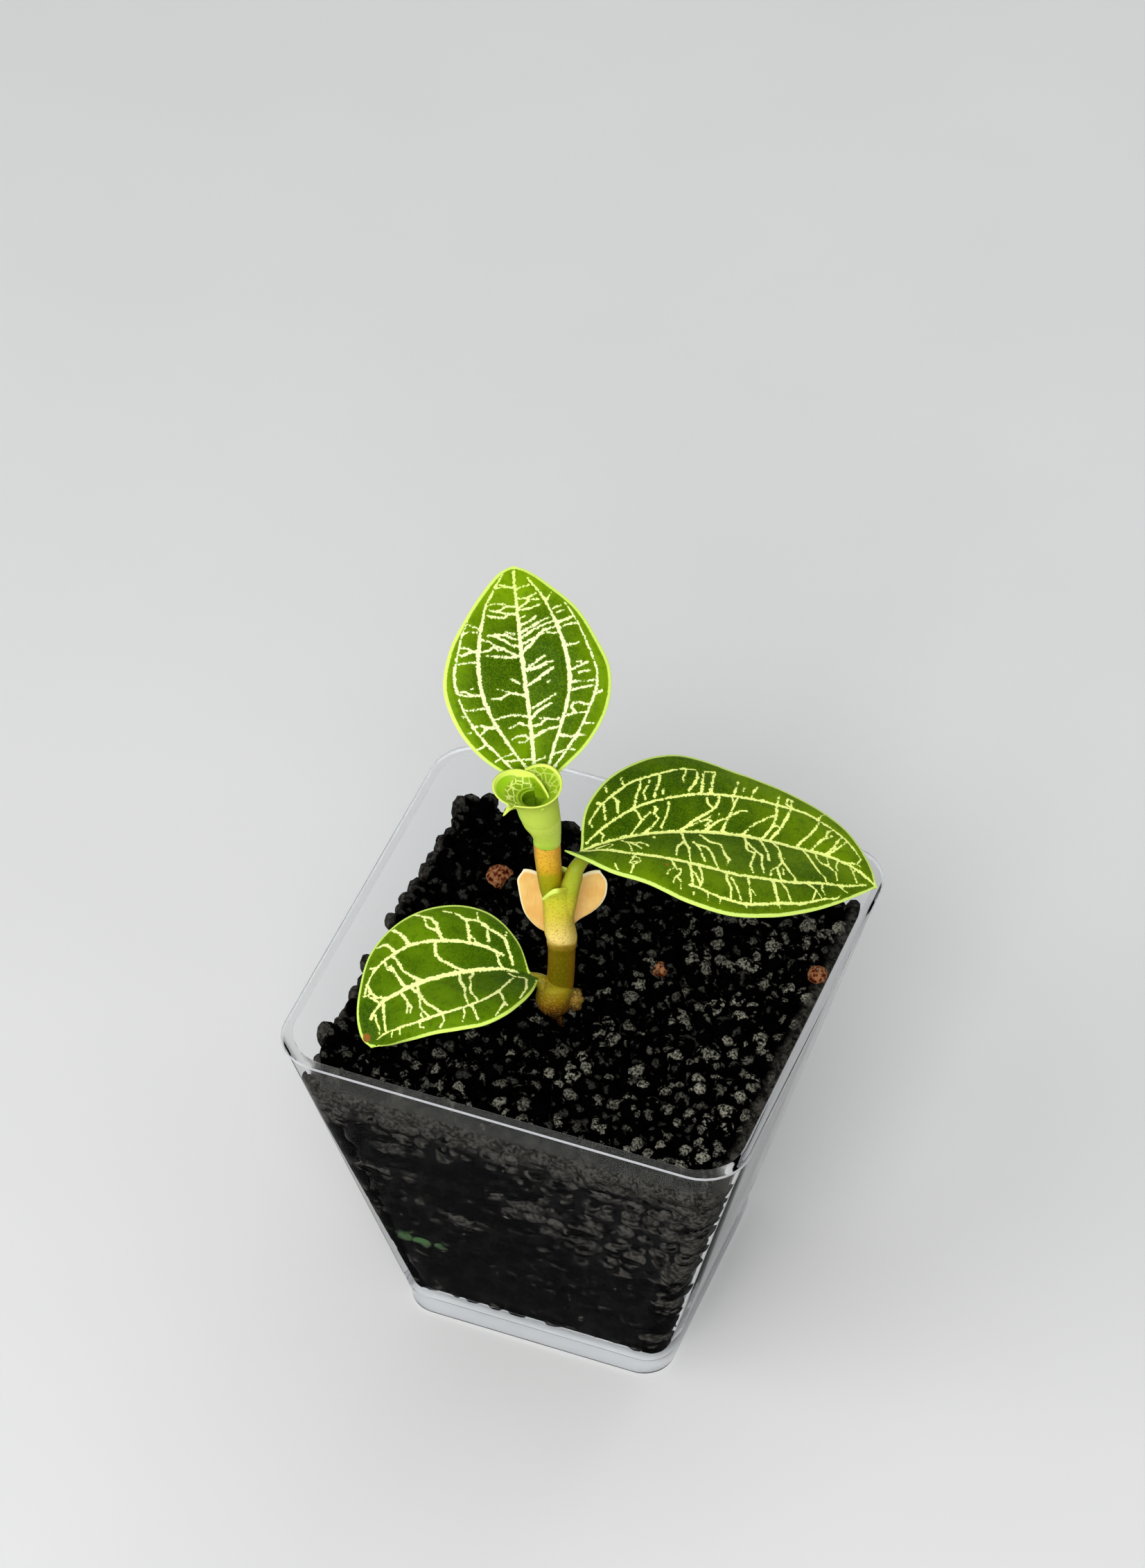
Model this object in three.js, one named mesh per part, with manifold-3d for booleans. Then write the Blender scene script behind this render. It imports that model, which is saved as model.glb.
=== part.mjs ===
// A young jewel orchid in a square clear pot of black granules.
//
// Millimetres, +Z up. The origin is the centre of the pot's underside, and the pot's front is -Y.
// The plant stands a little left of the pot's middle and faces an observer who looks from the
// front right, so its own directions are turned from the pot's: ACROSS runs to the plant's right
// as that observer sees it, and BACK runs away from them.

import * as THREE from "three";
import { mergeVertices } from "three/addons/utils/BufferGeometryUtils.js";
import Module from "manifold-3d";

const wasm = await Module();
wasm.setup();

// ---------------------------------------------------------------- driving dimensions

const RIM_WIDTH = 65;
const RIM_HEIGHT = 58.4;
const RIM_CORNER_RADIUS = 3.8;
const LIP_PROUD = 0.25;
const LIP_HEIGHT = 0.8;
const WALL = 1.15;
const FOOT_WIDTH = 38.2;
const FOOT_HEIGHT = 3.4;
const FOOT_STEP = 0.4;
const FOOT_CORNER_RADIUS = 4;
const EDGE_ROUND = 0.3;
const FLOOR_HEIGHT = 4;
const CORNER_STEPS = 5;

const CLEARANCE = 0.3;
const SHEATH_LIP_CLEARANCE = 0.45;

const GRANULE_PITCH = 4.1;
const GRANULE_RISE = [1.0, 1.5];
const GRANULE_JITTER = 1.2;
const BED_LEVEL = 51.7;
const BED_SLOPE = 0.012;
const STEM_HOLE_RADIUS = 2.6;
const STEM_HOLE_ACROSS = -0.25;
const STEM_HOLE_FLOOR = 40;

const PLANT_TURN = THREE.MathUtils.degToRad(20.286);
const ACROSS = new THREE.Vector3(Math.cos(PLANT_TURN), Math.sin(PLANT_TURN), 0);
const BACK = new THREE.Vector3(-Math.sin(PLANT_TURN), Math.cos(PLANT_TURN), 0);
const PLANT_FOOT = new THREE.Vector3(-1.3, -6.4, 0);

const STEM_SIDES = 14;
const PETIOLE_SIDES = 8;
const BLADE_THICKNESS = 0.7;
const BLADE_ROWS = 22;
const BLADE_COLUMNS = 10;
const NARROWEST_HALF_WIDTH = 0.25;

// Places on the plant are given as across, back and up from the stem's foot.
const onPlant = (across, back, up) =>
  PLANT_FOOT.clone()
    .addScaledVector(ACROSS, across)
    .addScaledVector(BACK, back)
    .setZ(up);

// ---------------------------------------------------------------- solids from points

// A closed geometry from points and triangles, with shared corners merged.
function geometryOf(points, triangles) {
  const geometry = new THREE.BufferGeometry();
  const coordinates = points.flatMap((p) => [p.x, p.y, p.z]);
  geometry.setAttribute("position", new THREE.Float32BufferAttribute(coordinates, 3));
  geometry.setIndex(triangles.flat());
  return mergeVertices(geometry, 1e-5);
}

function toManifold(geometry) {
  const bare = geometry.index ? geometry.clone() : mergeVertices(geometry.clone());
  bare.deleteAttribute("normal");
  bare.deleteAttribute("uv");
  const merged = mergeVertices(bare, 1e-5);
  return new wasm.Manifold(
    new wasm.Mesh({
      numProp: 3,
      vertProperties: new Float32Array(merged.attributes.position.array),
      triVerts: new Uint32Array(merged.index.array),
    }),
  );
}

function toGeometry(manifold) {
  const mesh = manifold.getMesh();
  const geometry = new THREE.BufferGeometry();
  geometry.setAttribute("position", new THREE.BufferAttribute(mesh.vertProperties, 3));
  geometry.setIndex(new THREE.BufferAttribute(mesh.triVerts, 1));
  return geometry;
}

const join = (geometries) =>
  toGeometry(geometries.map(toManifold).reduce((whole, piece) => whole.add(piece)));

// Skin over a stack of rings that all have the same number of points. An open stack gets a fan
// over its first and last ring; a looped stack joins its last ring to its first.
function loft(rings, looped = false) {
  const sides = rings[0].length;
  const points = rings.flat();
  const triangles = [];
  const bands = looped ? rings.length : rings.length - 1;
  for (let band = 0; band < bands; band++) {
    const low = band * sides;
    const high = ((band + 1) % rings.length) * sides;
    for (let i = 0; i < sides; i++) {
      const next = (i + 1) % sides;
      triangles.push([low + i, low + next, high + next]);
      triangles.push([low + i, high + next, high + i]);
    }
  }
  if (!looped) {
    const centre = (ring) =>
      ring.reduce((sum, p) => sum.add(p), new THREE.Vector3()).divideScalar(sides);
    const first = points.push(centre(rings[0])) - 1;
    const last = points.push(centre(rings.at(-1))) - 1;
    const top = (rings.length - 1) * sides;
    for (let i = 0; i < sides; i++) {
      const next = (i + 1) % sides;
      triangles.push([first, next, i]);
      triangles.push([last, top + i, top + next]);
    }
  }
  return geometryOf(points, triangles);
}

// A sheet with two faces that are split into triangles alike, and a wall along its open edges.
function sheet(topPoints, bottomPoints, faces) {
  const count = topPoints.length;
  const triangles = [];
  const edges = new Map();
  for (const [a, b, c] of faces) {
    triangles.push([a, b, c]);
    triangles.push([count + a, count + c, count + b]);
    for (const [from, to] of [[a, b], [b, c], [c, a]]) {
      edges.set(`${from}:${to}`, [from, to]);
    }
  }
  for (const [from, to] of edges.values()) {
    if (!edges.has(`${to}:${from}`)) {
      triangles.push([from, count + from, count + to]);
      triangles.push([from, count + to, to]);
    }
  }
  return geometryOf([...topPoints, ...bottomPoints], triangles);
}

// Triangles of a grid of rows by columns, with the diagonals mirrored about the middle column.
function gridFaces(rows, columns) {
  const faces = [];
  for (let row = 0; row < rows; row++) {
    for (let column = 0; column < columns; column++) {
      const a = row * (columns + 1) + column;
      const b = a + 1;
      const c = a + columns + 1;
      const d = c + 1;
      if (column < columns / 2) {
        faces.push([a, b, d], [a, d, c]);
      } else {
        faces.push([a, b, c], [b, d, c]);
      }
    }
  }
  return faces;
}

// A level ring about a point; its right side is lifted by slope mm for each mm across.
function stemRing({ at, radius, slope = 0 }) {
  return Array.from({ length: STEM_SIDES }, (_, i) => {
    const angle = (2 * Math.PI * i) / STEM_SIDES;
    const across = radius * Math.cos(angle);
    return at
      .clone()
      .addScaledVector(ACROSS, across)
      .addScaledVector(BACK, radius * Math.sin(angle))
      .add(new THREE.Vector3(0, 0, slope * across));
  });
}

// A round solid along a curve, with a radius at each of its points.
function taperedTube(points, radii) {
  const curve = new THREE.CatmullRomCurve3(points);
  const steps = (points.length - 1) * 2;
  const radiusCurve = new THREE.SplineCurve(radii.map((r, i) => new THREE.Vector2(i, r)));
  const frames = curve.computeFrenetFrames(steps, false);
  const rings = [];
  for (let step = 0; step <= steps; step++) {
    const centre = curve.getPointAt(step / steps);
    const radius = radiusCurve.getPoint(step / steps).y;
    rings.push(
      Array.from({ length: PETIOLE_SIDES }, (_, i) => {
        const angle = (2 * Math.PI * i) / PETIOLE_SIDES;
        return centre
          .clone()
          .addScaledVector(frames.normals[step], radius * Math.cos(angle))
          .addScaledVector(frames.binormals[step], radius * Math.sin(angle));
      }),
    );
  }
  return loft(rings);
}

// ---------------------------------------------------------------- pot

// A level square with round corners, anticlockwise seen from above.
function roundedSquare(halfWidth, radius, z) {
  const ring = [];
  for (let corner = 0; corner < 4; corner++) {
    const start = (corner * Math.PI) / 2;
    const x = (halfWidth - radius) * Math.SQRT2 * Math.cos(start + Math.PI / 4);
    const y = (halfWidth - radius) * Math.SQRT2 * Math.sin(start + Math.PI / 4);
    for (let step = 0; step <= CORNER_STEPS; step++) {
      const angle = start + (step / CORNER_STEPS) * (Math.PI / 2);
      ring.push(new THREE.Vector3(x + radius * Math.cos(angle), y + radius * Math.sin(angle), z));
    }
  }
  return ring;
}

const BODY_FOOT_HALF = FOOT_WIDTH / 2 + FOOT_STEP;
const BODY_TOP_HALF = RIM_WIDTH / 2 - LIP_PROUD;
const BODY_FOOT_Z = FOOT_HEIGHT + FOOT_STEP;
const BODY_TOP_Z = RIM_HEIGHT - LIP_HEIGHT;

// Half width of the cavity at a height, from the taper of the outer wall less its thickness.
const cavityHalf = (z) =>
  THREE.MathUtils.mapLinear(z, BODY_FOOT_Z, BODY_TOP_Z, BODY_FOOT_HALF, BODY_TOP_HALF) - WALL;

function makePot() {
  const footHalf = FOOT_WIDTH / 2;
  const rimHalf = RIM_WIDTH / 2;
  const innerRadius = RIM_CORNER_RADIUS - WALL;
  return loft([
    roundedSquare(footHalf - EDGE_ROUND, FOOT_CORNER_RADIUS - EDGE_ROUND, 0),
    roundedSquare(footHalf, FOOT_CORNER_RADIUS, EDGE_ROUND),
    roundedSquare(footHalf, FOOT_CORNER_RADIUS, FOOT_HEIGHT),
    roundedSquare(BODY_FOOT_HALF, FOOT_CORNER_RADIUS + FOOT_STEP, BODY_FOOT_Z),
    roundedSquare(BODY_TOP_HALF, RIM_CORNER_RADIUS - LIP_PROUD, BODY_TOP_Z),
    roundedSquare(rimHalf, RIM_CORNER_RADIUS, BODY_TOP_Z + LIP_PROUD),
    roundedSquare(rimHalf, RIM_CORNER_RADIUS, RIM_HEIGHT - EDGE_ROUND),
    roundedSquare(rimHalf - EDGE_ROUND, RIM_CORNER_RADIUS - EDGE_ROUND, RIM_HEIGHT),
    roundedSquare(cavityHalf(RIM_HEIGHT), innerRadius, RIM_HEIGHT),
    roundedSquare(cavityHalf(FLOOR_HEIGHT), FOOT_CORNER_RADIUS - WALL, FLOOR_HEIGHT),
  ]);
}

// ---------------------------------------------------------------- substrate

// Draws numbers from 0 to 1 by a linear congruence, the same ones in every run.
function seededDraw(seed) {
  let state = seed;
  return () => {
    state = (state * 1664525 + 1013904223) % 4294967296;
    return state / 4294967296;
  };
}

// A sheet of rounded grains on a jittered six-sided lattice. Each grain has a crown, a shoulder
// ring and six low corners that it shares with its neighbours.
function makeGranuleSheet() {
  const draw = seededDraw(7);
  const rowHeight = (GRANULE_PITCH * Math.sqrt(3)) / 2;
  const reach = Math.ceil(RIM_WIDTH / 2 / rowHeight) + 2;
  const crowns = new Map();
  for (let row = -reach; row <= reach; row++) {
    for (let column = -reach; column <= reach; column++) {
      const x = (column + (row & 1) / 2) * GRANULE_PITCH + (draw() - 0.5) * GRANULE_JITTER;
      const y = row * rowHeight + (draw() - 0.5) * GRANULE_JITTER;
      const rise = THREE.MathUtils.lerp(GRANULE_RISE[0], GRANULE_RISE[1], draw());
      crowns.set(`${row}:${column}`, { x, y, rise });
    }
  }

  const level = (x, y) => BED_LEVEL - BED_SLOPE * y;
  const points = [];
  const faces = [];
  const corners = new Map();
  const cornerOf = (keys) => {
    const name = [...keys].sort().join(" ");
    if (!corners.has(name)) {
      const grains = keys.map((key) => crowns.get(key));
      const x = grains.reduce((sum, grain) => sum + grain.x, 0) / grains.length;
      const y = grains.reduce((sum, grain) => sum + grain.y, 0) / grains.length;
      corners.set(name, points.push(new THREE.Vector3(x, y, level(x, y))) - 1);
    }
    return corners.get(name);
  };

  const shoulderReach = 0.68;
  const shoulderRise = 0.72;
  for (const [key, grain] of crowns) {
    const [row, column] = key.split(":").map(Number);
    const shift = row & 1;
    const around = [
      [row, column + 1],
      [row + 1, column + shift],
      [row + 1, column - 1 + shift],
      [row, column - 1],
      [row - 1, column - 1 + shift],
      [row - 1, column + shift],
    ].map((place) => place.join(":"));
    if (!around.every((name) => crowns.has(name))) continue;

    const floor = level(grain.x, grain.y);
    const crown = points.push(new THREE.Vector3(grain.x, grain.y, floor + grain.rise)) - 1;
    const low = around.map((name, i) => cornerOf([key, name, around[(i + 1) % 6]]));
    const shoulder = low.map((corner) => {
      const place = points[corner];
      const x = THREE.MathUtils.lerp(grain.x, place.x, shoulderReach);
      const y = THREE.MathUtils.lerp(grain.y, place.y, shoulderReach);
      return points.push(new THREE.Vector3(x, y, floor + grain.rise * shoulderRise)) - 1;
    });
    for (let i = 0; i < 6; i++) {
      const next = (i + 1) % 6;
      faces.push([crown, shoulder[i], shoulder[next]]);
      faces.push([shoulder[i], low[i], low[next]]);
      faces.push([shoulder[i], low[next], shoulder[next]]);
    }
  }
  const under = points.map((p) => new THREE.Vector3(p.x, p.y, 0));
  return sheet(points, under, faces);
}

// The bed fills the cavity a clearance short of its walls, under the sheet of grains, and has a
// plain round hole for the stem.
function makeSubstrate() {
  const bottom = FLOOR_HEIGHT + CLEARANCE;
  const filling = loft([
    roundedSquare(cavityHalf(bottom) - CLEARANCE, FOOT_CORNER_RADIUS - WALL - CLEARANCE, bottom),
    roundedSquare(
      cavityHalf(RIM_HEIGHT) - CLEARANCE,
      RIM_CORNER_RADIUS - WALL - CLEARANCE,
      RIM_HEIGHT,
    ),
  ]);
  const holeAt = (z) => stemRing({ at: onPlant(STEM_HOLE_ACROSS, 0, z), radius: STEM_HOLE_RADIUS });
  const hole = loft([holeAt(STEM_HOLE_FLOOR), holeAt(RIM_HEIGHT)]);
  const bed = toManifold(filling).intersect(toManifold(makeGranuleSheet()));
  return toGeometry(bed.subtract(toManifold(hole)));
}

// ---------------------------------------------------------------- stem

// The stem thins to a core where a leaf's sheath wraps it, so that the sheath has room.
const LEFT_SHEATH = { foot: 55.5, mouth: 58.2, slope: -0.42 };
const RIGHT_SHEATH = { foot: 67.1, mouth: 75.1, slope: 0.5 };
const TOP_SHEATH = { foot: 83.8, mouth: 88.4 };

const STEM_RINGS = [
  { at: onPlant(0, 0, STEM_HOLE_FLOOR + CLEARANCE), radius: 1.3 },
  { at: onPlant(-0.1, 0, 50), radius: 1.6 },
  { at: onPlant(-0.4, 0, 53), radius: 1.85 },
  { at: onPlant(-0.6, 0, 54.4), radius: 2.05 },
  { at: onPlant(-0.6, 0, LEFT_SHEATH.foot - CLEARANCE), radius: 2.0 },
  { at: onPlant(-0.5, 0, LEFT_SHEATH.foot - 0.2), radius: 1.25 },
  { at: onPlant(0.1, 0, LEFT_SHEATH.mouth), radius: 1.25, slope: LEFT_SHEATH.slope },
  { at: onPlant(0.1, 0, LEFT_SHEATH.mouth + SHEATH_LIP_CLEARANCE), radius: 1.75, slope: LEFT_SHEATH.slope },
  { at: onPlant(0.25, 0, 62), radius: 1.78 },
  { at: onPlant(0.15, 0, 65.3), radius: 1.82 },
  { at: onPlant(0.1, 0, 66.1), radius: 2.02 },
  { at: onPlant(0.05, 0, RIGHT_SHEATH.foot - CLEARANCE), radius: 1.95 },
  { at: onPlant(0.05, 0, RIGHT_SHEATH.foot - 0.2), radius: 1.0 },
  { at: onPlant(-0.35, 0, 72), radius: 1.0 },
  { at: onPlant(-1.2, 0, RIGHT_SHEATH.mouth), radius: 1.0, slope: RIGHT_SHEATH.slope },
  { at: onPlant(-1.35, 0, 75.6), radius: 1.65, slope: RIGHT_SHEATH.slope },
  { at: onPlant(-1.7, 0, 78.2), radius: 1.68 },
  { at: onPlant(-1.9, 0, 81.4), radius: 1.6 },
  { at: onPlant(-1.95, 0, TOP_SHEATH.foot - CLEARANCE), radius: 1.62 },
  { at: onPlant(-1.95, 0, TOP_SHEATH.foot - 0.2), radius: 0.95 },
  { at: onPlant(-1.95, 0, 86), radius: 0.85 },
];

const ROOT_NUB = { across: 1.95, back: 0.3, up: 54.5, radius: 0.8 };

function makeStem() {
  const nub = new THREE.IcosahedronGeometry(ROOT_NUB.radius, 1);
  const place = onPlant(ROOT_NUB.across, ROOT_NUB.back, ROOT_NUB.up);
  nub.translate(place.x, place.y, place.z);
  return join([loft(STEM_RINGS.map(stemRing)), nub]);
}

// A sheath is a sleeve: its outer wall goes up, its inner wall comes down.
function makeSheath(outer, inner) {
  return loft([...outer.map(stemRing), ...inner.map(stemRing)], true);
}

// ---------------------------------------------------------------- leaves

// Every blade has a midrib, half widths to the left and right of it as one looks from base to
// tip, and a fold. The half widths are given at stations that bunch towards base and tip, at
// (1 - cos(pi k)) / 2 of the midrib for k in equal steps. A half rises from the midrib by its
// fold and bends down again by its arch. The heel draws the base's corners back past the petiole.
const LEFT_LEAF = {
  midrib: [
    new THREE.Vector3(-4.8, -7, 59.5),
    new THREE.Vector3(-11.8, -9.1, 61.5),
    new THREE.Vector3(-22.8, -17.4, 60),
    new THREE.Vector3(-21.7, -22.5, 53.9),
  ],
  left: [0, 2.5, 6.7, 10.0, 11.2, 10.2, 8.2, 6.2, 4.2, 2.4, 0],
  right: [0, 0.3, 4.7, 8.9, 11.1, 11.3, 9.3, 5.5, 2.5, 0.7, 0],
  foldLeft: [0.45, 0.2],
  foldRight: [0.5, 0.2],
  arch: 0.2,
  heelLeft: 1.0,
  heelRight: 0,
};

const RIGHT_LEAF = {
  midrib: [
    new THREE.Vector3(0.6, -4.6, 81.9),
    new THREE.Vector3(7.4, 3.1, 84.6),
    new THREE.Vector3(28.6, 9.9, 82.6),
    new THREE.Vector3(37.4, 7.2, 77.9),
  ],
  left: [0, 1.3, 6.3, 10.7, 12.9, 10.3, 8.2, 6.2, 3.0, 0.8, 0],
  right: [0, 2.3, 6.6, 9.7, 13.7, 15.3, 13.7, 10.4, 6.5, 2.6, 0],
  foldLeft: [0.35, 0.1],
  foldRight: [0.25, 0.1],
  arch: 0.15,
  heelLeft: 0.2,
  heelRight: 1.6,
};

const TOP_LEAF = {
  midrib: [
    new THREE.Vector3(-6.1, -4, 90.6),
    new THREE.Vector3(-7.5, -0.3, 98.6),
    new THREE.Vector3(-12.3, 5.8, 106.2),
    new THREE.Vector3(-16.1, 13.9, 110.7),
  ],
  left: [0, 1.8, 5.0, 7.9, 10.0, 10.8, 9.4, 6.6, 3.9, 1.8, 0],
  right: [0, 1.7, 4.3, 7.7, 10.3, 11.1, 9.7, 7.7, 4.6, 2.0, 0],
  foldLeft: [0.15, 0.1],
  foldRight: [0.15, 0.1],
  arch: 0.1,
  heelLeft: 0,
  heelRight: 0,
};

const midribShare = (k) => (1 - Math.cos(Math.PI * k)) / 2;

// The midrib's point, its direction, the level side direction to its left, and the normal.
function bladeFrame(leaf, t) {
  const curve = new THREE.CubicBezierCurve3(...leaf.midrib);
  const ahead = curve.getTangent(t);
  const side = new THREE.Vector3(0, 0, 1).cross(ahead).normalize();
  const normal = ahead.clone().cross(side);
  return { point: curve.getPoint(t), ahead, side, normal };
}

// A point of the blade's upper face: k runs from base to tip, v from -1 at the right margin to 1
// at the left one.
function bladePoint(leaf, k, v) {
  const t = midribShare(k);
  const { point, ahead, side, normal } = bladeFrame(leaf, t);
  const widths = v > 0 ? leaf.left : leaf.right;
  const spline = new THREE.SplineCurve(widths.map((w, i) => new THREE.Vector2(i, w)));
  const halfWidth = Math.max(spline.getPoint(k).y, NARROWEST_HALF_WIDTH);
  const reach = Math.abs(v) * halfWidth;
  const fold = THREE.MathUtils.lerp(...(v > 0 ? leaf.foldLeft : leaf.foldRight), t);
  const rise = reach * (fold - leaf.arch * v * v);
  const back = (v > 0 ? leaf.heelLeft : leaf.heelRight) * (1 - t) ** 6 * Math.abs(v);
  return point
    .addScaledVector(side, Math.sign(v) * reach)
    .addScaledVector(normal, rise)
    .addScaledVector(ahead, -back);
}

function makeBlade(leaf) {
  const top = [];
  const bottom = [];
  for (let row = 0; row <= BLADE_ROWS; row++) {
    const k = row / BLADE_ROWS;
    const { normal } = bladeFrame(leaf, midribShare(k));
    for (let column = 0; column <= BLADE_COLUMNS; column++) {
      const point = bladePoint(leaf, k, (2 * column) / BLADE_COLUMNS - 1);
      top.push(point);
      bottom.push(point.clone().addScaledVector(normal, -BLADE_THICKNESS));
    }
  }
  const faces = gridFaces(BLADE_ROWS, BLADE_COLUMNS).map(([a, b, c]) => [a, c, b]);
  return sheet(top, bottom, faces);
}

// The petiole runs on under the blade as a keel that thins out along the midrib.
function makePetiole(leaf, foot, footRadii, keelReach) {
  const keelShares = [0.04, 0.16, 0.3, 0.45].map((share) => share * keelReach);
  const keelRadii = [0.8, 0.65, 0.5, 0.35];
  const keel = keelShares.map((t, i) => {
    const { point, normal } = bladeFrame(leaf, t);
    return point.addScaledVector(normal, -BLADE_THICKNESS / 2 - keelRadii[i] / 2);
  });
  return taperedTube([...foot, ...keel], [...footRadii, ...keelRadii]);
}

function makeLeftLeaf() {
  const { foot, mouth, slope } = LEFT_SHEATH;
  const sheath = makeSheath(
    [
      { at: onPlant(-0.55, 0, foot), radius: 2.2 },
      { at: onPlant(-0.3, 0, (foot + mouth) / 2), radius: 2.15, slope: slope / 2 },
      { at: onPlant(0, 0, mouth), radius: 2.0, slope },
    ],
    [
      { at: onPlant(0, 0, mouth), radius: 1.55, slope },
      { at: onPlant(-0.5, 0, foot), radius: 1.55 },
    ],
  );
  const petiole = makePetiole(
    LEFT_LEAF,
    [onPlant(-2.2, 0, 56.9), onPlant(-2.9, 0, 58.1), onPlant(-3.3, 0, 58.7)],
    [0.6, 0.85, 0.85],
    1,
  );
  return join([sheath, petiole, makeBlade(LEFT_LEAF)]);
}

function makeRightLeaf() {
  const { foot, mouth, slope } = RIGHT_SHEATH;
  const sheath = makeSheath(
    [
      { at: onPlant(0.05, 0, foot), radius: 1.9 },
      { at: onPlant(0, 0, 69), radius: 1.85 },
      { at: onPlant(-0.35, 0, 72), radius: 2.0 },
      { at: onPlant(-1.2, 0, mouth), radius: 2.0, slope },
    ],
    [
      { at: onPlant(-1.2, 0, mouth), radius: 1.35, slope },
      { at: onPlant(-0.35, 0, 72), radius: 1.35 },
      { at: onPlant(0.05, 0, foot), radius: 1.35 },
    ],
  );
  const petiole = makePetiole(
    RIGHT_LEAF,
    [
      onPlant(1.3, 0, 71.5),
      onPlant(1.2, 0, 74),
      onPlant(1.3, 0, 77.3),
      onPlant(1.85, 0.1, 80.2),
    ],
    [0.3, 0.75, 0.85, 0.95],
    0.9,
  );
  return join([sheath, petiole, makeBlade(RIGHT_LEAF)]);
}

function makeTopLeaf() {
  const { foot, mouth } = TOP_SHEATH;
  const sheath = makeSheath(
    [
      { at: onPlant(-1.95, 0, foot), radius: 1.7 },
      { at: onPlant(-1.95, 0, 86), radius: 1.8 },
      { at: onPlant(-2.4, 0, mouth), radius: 2.4 },
    ],
    [
      { at: onPlant(-2.4, 0, mouth), radius: 1.95 },
      { at: onPlant(-1.95, 0, 86), radius: 1.3 },
      { at: onPlant(-1.95, 0, foot), radius: 1.3 },
    ],
  );
  const petiole = makePetiole(
    TOP_LEAF,
    [onPlant(-2.1, 1.8, 86), onPlant(-2.5, 2.6, 88), onPlant(-3.2, 3.3, 89.6)],
    [0.5, 0.8, 0.9],
    1,
  );
  return join([sheath, petiole, makeBlade(TOP_LEAF)]);
}

// ---------------------------------------------------------------- rolled leaf

// The newest leaf is still rolled into a funnel. Its cross section is a spiral: from the margin
// that lies inside, out past the back, round the left, the front and the right, and to the back
// again behind its own start. Radii are those of the mouth, at equal steps of the turn.
const ROLL_START = THREE.MathUtils.degToRad(-50);
const ROLL_END = THREE.MathUtils.degToRad(450);
const ROLL_RADII = [3.2, 2.5, 2.3, 2.7, 3.6, 4.45, 4.0, 3.85, 4.15, 4.5, 4.5, 4.1];
const ROLL_STEPS = 33;
const ROLL_THICKNESS = 0.6;

// The leaf's pointed tip stands out of the mouth at the front left.
const ROLL_TIP = { angle: THREE.MathUtils.degToRad(239), proud: 1.4, halfAngle: 0.16 };

// Rows from the funnel's throat to its mouth: the section's centre, and its size as a share of
// the mouth's.
const ROLL_ROWS = [
  { at: onPlant(-3.1, 0, 90.2), size: 0.62 },
  { at: onPlant(-3.5, 0, 91.8), size: 0.74 },
  { at: onPlant(-4.0, 0.1, 93.3), size: 0.88 },
  { at: onPlant(-4.5, 0.1, 94.4), size: 1.0 },
];

const ROLL_CORE = [
  { at: onPlant(-1.95, 0, 86 + CLEARANCE), radius: 0.9 },
  { at: onPlant(-2.1, 0, 87.2), radius: 1.1 },
  { at: onPlant(-2.4, 0, 88.4), radius: 1.55 },
  { at: onPlant(-2.9, 0, 89.5), radius: 2.2 },
  { at: onPlant(-3.2, 0, 90.6), radius: 2.7 },
];

function makeRolledLeaf() {
  const section = new THREE.SplineCurve(ROLL_RADII.map((r, i) => new THREE.Vector2(i, r)));
  const outside = [];
  const inside = [];
  for (const { at, size } of ROLL_ROWS) {
    for (let step = 0; step <= ROLL_STEPS; step++) {
      const share = step / ROLL_STEPS;
      const angle = THREE.MathUtils.lerp(ROLL_START, ROLL_END, share);
      const offTip = (angle - ROLL_TIP.angle) / ROLL_TIP.halfAngle;
      const tip = size === 1 ? ROLL_TIP.proud * Math.exp(-offTip * offTip) : 0;
      const radius = section.getPoint(share).y * size + tip;
      const outward = ACROSS.clone()
        .multiplyScalar(Math.cos(angle))
        .addScaledVector(BACK, Math.sin(angle));
      outside.push(at.clone().addScaledVector(outward, radius));
      inside.push(at.clone().addScaledVector(outward, radius - ROLL_THICKNESS));
    }
  }
  const faces = gridFaces(ROLL_ROWS.length - 1, ROLL_STEPS);
  return join([loft(ROLL_CORE.map(stemRing)), sheet(outside, inside, faces)]);
}

// ---------------------------------------------------------------- faded leaf

// An old, dried leaf stands behind the stem at its middle ring: a heart in outline, a little
// cupped, with half widths and heights by height above its foot.
const FADED_FOOT = 64.6;
const FADED_LEFT = [1.0, 2.9, 4.05, 4.8, 5.2, 5.45, 5.65, 5.75, 5.0];
const FADED_RIGHT = [0.7, 1.2, 2.3, 3.9, 5.05, 5.7, 5.95, 5.85, 5.0];
const FADED_HEIGHT = 11.6;
const FADED_NOTCH = 2.4;
const FADED_DEPTH = 2.3;
const FADED_LEAN = 0.1;
const FADED_CUP = 0.02;
const FADED_COLUMNS = 12;

function makeFadedLeaf() {
  const rows = FADED_LEFT.length - 1;
  const front = [];
  const rear = [];
  for (let row = 0; row <= rows; row++) {
    for (let column = 0; column <= FADED_COLUMNS; column++) {
      const v = (2 * column) / FADED_COLUMNS - 1;
      const width = v < 0 ? FADED_LEFT[row] : FADED_RIGHT[row];
      const across = v * width;
      const height = row / rows;
      const notch = FADED_NOTCH * (Math.cos((Math.PI / 2) * v) * height) ** 2;
      const up = FADED_FOOT + FADED_HEIGHT * height - notch;
      const back = FADED_DEPTH + FADED_LEAN * (up - FADED_FOOT) - FADED_CUP * across * across;
      front.push(onPlant(across, back, up));
      rear.push(onPlant(across, back + BLADE_THICKNESS, up));
    }
  }
  return sheet(front, rear, gridFaces(rows, FADED_COLUMNS));
}

// ---------------------------------------------------------------- assembly

const finish = (color, roughness, extra = {}) =>
  new THREE.MeshStandardMaterial({ color, roughness, metalness: 0, ...extra });

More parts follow.
